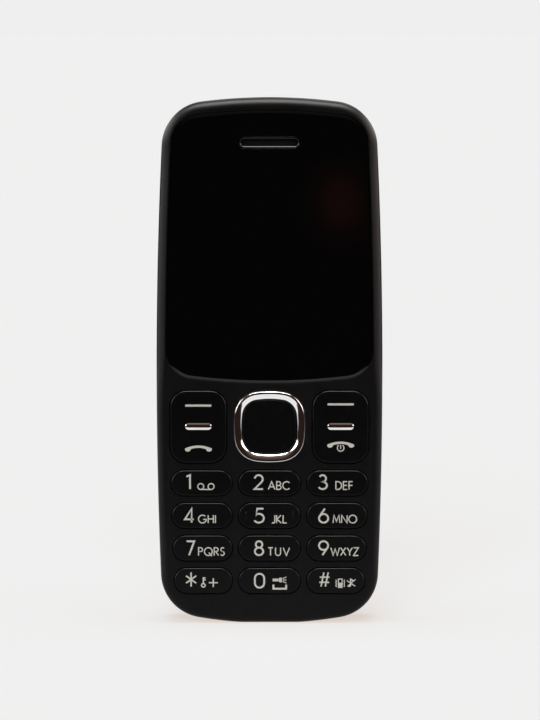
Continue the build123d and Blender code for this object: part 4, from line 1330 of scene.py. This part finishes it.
@dataclass
class Legends:
    """Print on all the keys."""

    number_tall: float = 3.22
    number_stroke: float = 0.365
    number_drop: float = 1.58
    sign_stroke: float = 0.3
    sign_rise: float = 0.25
    letter_tall: float = 1.82
    letter_stroke: float = 0.225
    top_lift: float = 0.2
    right_lift: float = 0.25
    sign_lift: float = 0.8
    bar_height: float = 44.68
    bar_stroke: float = 0.42
    sign_height: float = 35.82
    handset_drop: float = 0.55
    power_drop: float = 0.6
    power_radius: float = 0.68
    power_stroke: float = 0.2
    rows: list[Legend] = field(
        default_factory=lambda: [
            Legend("key_1", "1", -17.1, -16.0),
            Legend("key_2", "2", -3.25, -1.14, "ABC", -0.35, 4.19),
            Legend("key_3", "3", 9.84, 11.91, "DEF", 13.4, 17.03),
            Legend("key_4", "4", -17.44, -15.26, "GHI", -14.58, -10.89),
            Legend("key_5", "5", -3.17, -0.94, "JKL", 0.43, 3.61),
            Legend("key_6", "6", 9.91, 12.13, "MNO", 12.83, 17.87),
            Legend("key_7", "7", -17.08, -15.16, "PQRS", -14.58, -9.11),
            Legend("key_8", "8", -3.17, -1.1, "TUV", -0.39, 4.19),
            Legend("key_9", "9", 9.91, 12.13, "WXYZ", 12.4, 18.24),
            Legend("key_star", "*", -17.18, -14.81),
            Legend("key_0", "0", -3.17, -0.9),
            Legend("key_hash", "#", 10.01, 12.42),
        ]
    )

    def build(self, keypad: Keypad, pad: Pad) -> None:
        """Print every key.

        Args:
            keypad: Places of the number keys.
            pad: Places of the rockers.
        """
        icons = {
            "key_1": self._tape, "key_star": self._lock, "key_0": self._torch, "key_hash": self._silence
        }
        places = {
            name: keypad.cap(row, 0).height for row, names in enumerate(keypad.names) for name in names
        }
        for legend in self.rows:
            height = places[legend.key] + (self.top_lift if legend.number in "123" else 0.0)
            pen = Print(legend.key + "_print", legend.key, -keypad.proud)
            low = height - self.number_drop
            sign = legend.number in "*#"
            width = self.sign_stroke if sign else self.number_stroke
            rise = self.sign_rise if sign else 0.0
            pen.word(
                legend.number, legend.number_left, legend.number_right, low + rise,
                self.number_tall, width,
            )
            if legend.letters:
                pen.word(
                    legend.letters, legend.letters_left, legend.letters_right, low,
                    self.letter_tall, self.letter_stroke,
                )
            if legend.key in icons:
                icons[legend.key](pen, height)
            pen.make()
        for side in Side:
            self._rocker(pad, side)

    def _tape(self, pen: Print, height: float) -> None:
        """Voicemail sign: two reels on a line."""
        radius, reels = 0.6, (-14.0, -11.9)
        low = height - self.number_drop + self.letter_stroke / 2
        for x in reels:
            pen.stroke(*oval(x, low + radius, radius, radius), self.letter_stroke)
        pen.line(self.letter_stroke, *((x, low) for x in reels))

    def _lock(self, pen: Print, height: float) -> None:
        """Key sign for the key lock, and a plus."""
        x, bow, shaft, bit = -13.5, 0.36, 0.27, 0.24
        pen.stroke(*oval(x, height - 0.92, bow, bow), shaft)
        pen.line(shaft, (x, height - 0.5), (x, height + 0.75))
        for rise in (0.2, 0.6):
            pen.line(bit, (x, height + rise), (x + 0.48, height + rise))
        plus, arm, cross = -11.47, 0.93, 0.26
        level = height - 0.38
        pen.line(cross, (plus - arm, level), (plus + arm, level))
        pen.line(cross, (plus, height - 1.27), (plus, height + 0.52))

    def _torch(self, pen: Print, height: float) -> None:
        """Torch with three rays above a space bar."""
        middle = height + 0.17
        barrel = [(0.63, -0.28), (1.77, -0.28), (1.77, 0.28), (0.63, 0.28)]
        head = [(1.85, -0.3), (2.1, -0.48), (2.52, -0.48), (2.52, 0.48), (2.1, 0.48), (1.85, 0.3)]
        for outline in (barrel, head):
            pen.fill([(x, middle + rise) for x, rise in outline])
        ray, bar = 0.19, 0.38
        for start, stop in ((-0.272, -0.646), (0.0, 0.0), (0.272, 0.646)):
            pen.line(ray, (2.68, middle + start), (3.46, middle + stop))
        low = height - 1.62
        high = low + 0.85
        pen.line(bar, (0.8, high), (0.8, low), (3.4, low), (3.4, high))

    def _silence(self, pen: Print, height: float) -> None:
        """Shaking handset, and a note crossed out."""
        x, middle, outline, shake = 14.43, height - 0.5, 0.2, 0.19
        case = [(-0.38, -0.86), (-0.38, 0.86), (0.38, 0.86), (0.38, -0.86)]
        keys = [(-0.38, -0.8), (0.38, -0.8), (0.38, 0.1), (-0.38, 0.1)]
        pen.stroke([(x + across, middle + rise) for across, rise in case], True, outline)
        pen.fill([(x + across, middle + rise) for across, rise in keys])
        for side in (-1, 1):
            edge = x + side * 0.78
            pen.line(shake, *((edge + side * 0.1 * (i % 2), middle - 0.75 + 0.3 * i) for i in range(6)))
        note, low = 16.5, height - 1.0
        stem = note + 0.05
        pen.stroke(*oval(note - 0.2, low, 0.2, 0.14), 0.22)
        pen.line(0.26, (stem, low), (stem, height + 0.35), (note + 0.7, height - 0.05))
        pen.line(0.2, (15.78, height + 0.05), (17.5, height - 1.1))
        pen.line(0.18, (15.9, height - 1.15), (17.55, height + 0.3))

    def _handset(self, pen: Print, x: float, low: float, half: float = 2.75, tall: float = 1.24) -> None:
        """Handset lying on its back: an arch with a thick lobe at each end.

        Args:
            pen: Print that gets it.
            x: Its middle.
            low: Its lower edge.
            half: Half its width.
            tall: Its height.
        """
        shares = [i / 14 for i in range(-14, 15)]
        upper = [(x + half * t, low + tall * (1 - 0.5 * t * t)) for t in shares]
        end = [(0.99, 0.28), (0.93, 0.08), (0.8, 0.0), (0.68, 0.05), (0.6, 0.2), (0.55, 0.42)]
        right = [(x + half * a, low + tall * b) for a, b in end]
        under = list(reversed(shares[4:-4]))
        arch = [(x + half * 0.45 * t, low + tall * (0.62 - 0.12 * t * t)) for t in under]
        left = [(x - half * a, low + tall * b) for a, b in reversed(end)]
        pen.fill(upper + right + arch + left)

    def _rocker(self, pad: Pad, side: Side) -> None:
        """Bar and handset on one rocker, with an on-off sign on the right one.

        Args:
            pad: Places of the rockers.
            side: Where the rocker is.
        """
        body = side.word + "_rocker"
        pen = Print(body + "_print", body, -pad.proud)
        x = side.sign * pad.rocker_x
        right = side is Side.RIGHT
        top = self.bar_height + (self.right_lift if right else 0.0)
        half = pad.bar_width / 2
        pen.line(self.bar_stroke, (x - half, top), (x + half, top))
        low = self.sign_height + (self.sign_lift if right else 0.0)
        self._handset(pen, x, low - self.handset_drop)
        if right:
            power, radius = low - self.power_drop, self.power_radius
            pen.line(self.power_stroke, *bend(x, power, radius, radius, 125, 415))
            pen.line(self.power_stroke, (x, power - 0.2), (x, power + 0.62))
        pen.make()


@dataclass
class Studio:
    """White box that is open to a dark room in front, with the camera looking in."""

    distance: float = 0.85
    elevation: float = 5.0
    target: Place = (0.0001, -0.0065, 0.05395)
    view_tall: float = 0.1463
    film: float = 36.0
    aspect: float = 0.75
    clip_end: float = 100.0
    floor_colour: Colour = (0.156, 0.221, 0.26)
    floor_glow: Colour = (0.69, 0.613, 0.561)
    floor_wander: float = 0.99
    floor_reach: float = 12.0
    floor_front: float = 0.125
    backdrop: Colour = (0.863, 0.863, 0.863)
    room: Colour = (0.02, 0.012, 0.009)
    left_wall: Colour = (0.12, 0.12, 0.12)
    right_wall: Colour = (0.8, 0.78, 0.77)
    high_wall: Colour = (0.22, 0.22, 0.22)
    left_box: Colour = (7.7, 7.5, 7.3)
    right_box: Colour = (7.6, 6.6, 6.1)
    glow: Colour = (0.2, 0.145, 0.13)
    far_lamp: Colour = (0.24, 0.065, 0.05)
    lamp_radiance: Colour = (20.0, 19.4, 18.8)
    lamp_lean: float = 7.0
    # The parts of a direction between which each area of the world fades in.
    lamp_rise: Point = (0.84, 0.95)
    behind_rise: Point = (-0.25, 0.1)
    glow_rise: Point = (0.2, 0.55)
    spot_across: Point = (0.012, 0.022)
    spot_up: Point = (-0.056, -0.043)
    side_rise: Point = (-0.3, 0.3)
    high_rise: Point = (0.4, 0.75)
    box_rise: Point = (0.5, 0.76)
    band_start: Point = (0.0, 0.24)
    band_end: Point = (0.55, 0.8)
    matt_share: float = 0.085
    sun_tint: Colour = (0.96, 1.0, 1.045)
    fill_power: float = 2.1
    fill_from: Place = (-0.12, -1.0, 0.58)
    fill_spread: float = 30.0
    top_power: float = 1.2
    top_from: Place = (-0.04, -0.02, 1.0)
    top_spread: float = 36.0

    def camera(self) -> None:
        """Place the long lens in front of the phone, a little above it."""
        data = bpy.data.cameras.new("photo_camera")
        data.sensor_fit = "VERTICAL"
        data.sensor_height = self.film
        data.sensor_width = self.film * self.aspect
        data.lens = self.film * self.distance / self.view_tall
        data.clip_end = self.clip_end
        camera = put("photo_camera", data)
        target = Vector(self.target)
        tilt = math.radians(self.elevation)
        camera.location = target + Vector((0.0, -math.cos(tilt), math.sin(tilt))) * self.distance
        camera.rotation_euler = (target - camera.location).to_track_quat("-Z", "Y").to_euler()
        bpy.context.scene.camera = camera

    def floor(self) -> None:
        """Lay the pale floor, short in front so that the window mirrors the dark room."""
        mesh = bpy.data.meshes.new("pale_floor")
        reach = self.floor_reach
        front = -self.floor_front
        corners = [(-reach, front, 0.0), (reach, front, 0.0), (reach, reach, 0.0), (-reach, reach, 0.0)]
        mesh.from_pydata(corners, [], [(0, 1, 2, 3)])
        piece = put("pale_floor", mesh)
        tone = tuple(self.floor_wander * c for c in self.floor_colour)
        dress(piece, Finish(
            "pale_sweep", self.floor_colour, 0.9, tone=tone, specular=0.0, grain_height=0.0, marks=0.0,
            rough_spread=0.0,
        ))
        self._glow(piece.data.materials[0])
        piece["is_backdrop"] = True

    def _glow(self, material: bpy.types.Material) -> None:
        """Show part of the floor's tone to camera, mirror and glass rays alone, for a faint shadow.

        Args:
            material: The floor's material.
        """
        tree = material.node_tree
        shader = next(node for node in tree.nodes if node.type == "BSDF_PRINCIPLED")
        path = tree.nodes.new("ShaderNodeLightPath").outputs
        shader.inputs["Emission Color"].default_value = (*self.floor_glow, 1.0)
        mirrored = maths(tree, "MAXIMUM", path["Is Glossy Ray"], path["Is Transmission Ray"])
        shown = maths(tree, "MAXIMUM", path["Is Camera Ray"], mirrored)
        tree.links.new(shown, shader.inputs["Emission Strength"])

    def sun(self, name: str, power: float, source: Place, spread: float) -> None:
        """Add soft light that only the matt surfaces show, since the world holds its reflection.

        Args:
            name: Name of the lamp.
            power: Its strength.
            source: Direction that it comes from.
            spread: How wide it is, in degrees.
        """
        data = bpy.data.lights.new(name, "SUN")
        data.energy = power
        data.angle = math.radians(spread)
        data.color = self.sun_tint
        lamp = put(name, data)
        lamp.location = source
        lamp.rotation_euler = (-lamp.location).to_track_quat("-Z", "Y").to_euler()
        lamp.visible_glossy = False

    def world(self) -> None:
        """Light the box by direction: lamp overhead, pale walls at the sides, dark room in front."""
        world = bpy.data.worlds.new("white_box")
        world.use_nodes = True
        tree = world.node_tree
        shader = tree.nodes["Background"]
        place = tree.nodes.new("ShaderNodeTexCoord").outputs["Generated"]
        axes = tree.nodes.new("ShaderNodeSeparateXYZ")
        tree.links.new(place, axes.inputs[0])
        across, depth, up = axes.outputs
        behind = self._ramp(tree, depth, *self.behind_rise)
        room = mix(tree, self._ramp(tree, up, *self.glow_rise), self.room, self.glow)
        spot_across = self._bell(tree, across, *self.spot_across)
        spot = maths(tree, "MULTIPLY", spot_across, self._bell(tree, up, *self.spot_up))
        room = mix(tree, spot, room, self.far_lamp)
        rightward = self._ramp(tree, across, *self.side_rise)
        wall = mix(tree, rightward, self.left_wall, self.right_wall)
        wall = mix(tree, self._ramp(tree, up, *self.high_rise), wall, self.high_wall)
        base = mix(tree, behind, room, wall)
        aside = self._ramp(tree, maths(tree, "ABSOLUTE", across), *self.box_rise)
        band_start = self._ramp(tree, up, *self.band_start)
        band = maths(tree, "SUBTRACT", band_start, self._ramp(tree, up, *self.band_end))
        boxes = maths(tree, "MULTIPLY", aside, band)
        sides = mix(tree, rightward, self.left_box, self.right_box)
        walled = mix(tree, boxes, base, sides)
        lean = math.radians(self.lamp_lean)
        tilted = maths(tree, "MULTIPLY", depth, -math.sin(lean))
        towards = maths(tree, "MULTIPLY_ADD", up, math.cos(lean), tilted)
        bright = self._ramp(tree, towards, *self.lamp_rise)
        lit = mix(tree, bright, walled, self.lamp_radiance)
        path = tree.nodes.new("ShaderNodeLightPath").outputs
        seen = path["Is Camera Ray"]
        tree.links.new(mix(tree, seen, lit, self.backdrop), shader.inputs["Color"])
        mirrored = maths(tree, "MAXIMUM", path["Is Glossy Ray"], path["Is Transmission Ray"])
        full = maths(tree, "MAXIMUM", seen, mirrored)
        level = maths(tree, "MULTIPLY_ADD", full, 1 - self.matt_share, self.matt_share)
        tree.links.new(level, shader.inputs["Strength"])
        bpy.context.scene.world = world

    @staticmethod
    def _ramp(tree: Tree, value: Socket, low: float, high: float) -> Socket:
        """Rise smoothly from 0 at a low value to 1 at a high one."""
        node = tree.nodes.new("ShaderNodeMapRange")
        node.interpolation_type = "SMOOTHSTEP"
        tree.links.new(value, node.inputs["Value"])
        node.inputs["From Min"].default_value = low
        node.inputs["From Max"].default_value = high
        return node.outputs["Result"]

    @classmethod
    def _bell(cls, tree: Tree, value: Socket, low: float, high: float) -> Socket:
        """Rise to 1 halfway between two values and fall back to 0."""
        middle = (low + high) / 2
        overlap = 0.85
        reach = (high - low) * overlap
        rise = cls._ramp(tree, value, middle - reach, middle)
        fall = cls._ramp(tree, value, middle, middle + reach)
        return maths(tree, "SUBTRACT", rise, fall)

    def build(self) -> None:
        """Set the stage."""
        bpy.context.scene.view_settings.view_transform = "Standard"
        self.world()
        self.floor()
        self.camera()
        self.sun("front_fill", self.fill_power, self.fill_from, self.fill_spread)
        self.sun("top_light", self.top_power, self.top_from, self.top_spread)


def dress_solids() -> None:
    """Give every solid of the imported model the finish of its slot."""
    for part in frame["record"]["subparts"]:
        node = part["node"]
        if node in frame["nodes"]:
            dress(frame["nodes"][node], BY_SLOT[part["material_slot"]])
            log.info("%s is dressed as %s", node, part["material_slot"])


def write_size() -> None:
    """Turn the solids' box and the finished model's box into plain lists."""
    boxes = {"cad": cad_box, "visual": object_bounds()}
    plain = {key: json.loads(json.dumps(value, default=list)) for key, value in boxes.items()}


def main() -> None:
    """Build the pieces in order, set up the studio and finish."""
    logging.basicConfig(level=logging.INFO, format="%(message)s")
    dress_solids()
    keypad = Keypad()
    pad = Pad()
    FrontShell().build(keypad.holes() + pad.holes())
    Window().build()
    keypad.build()
    pad.build()
    BackShell().build()
    Legends().build(keypad, pad)
    Studio().build()
    write_size()


if __name__ == "__main__":
    main()
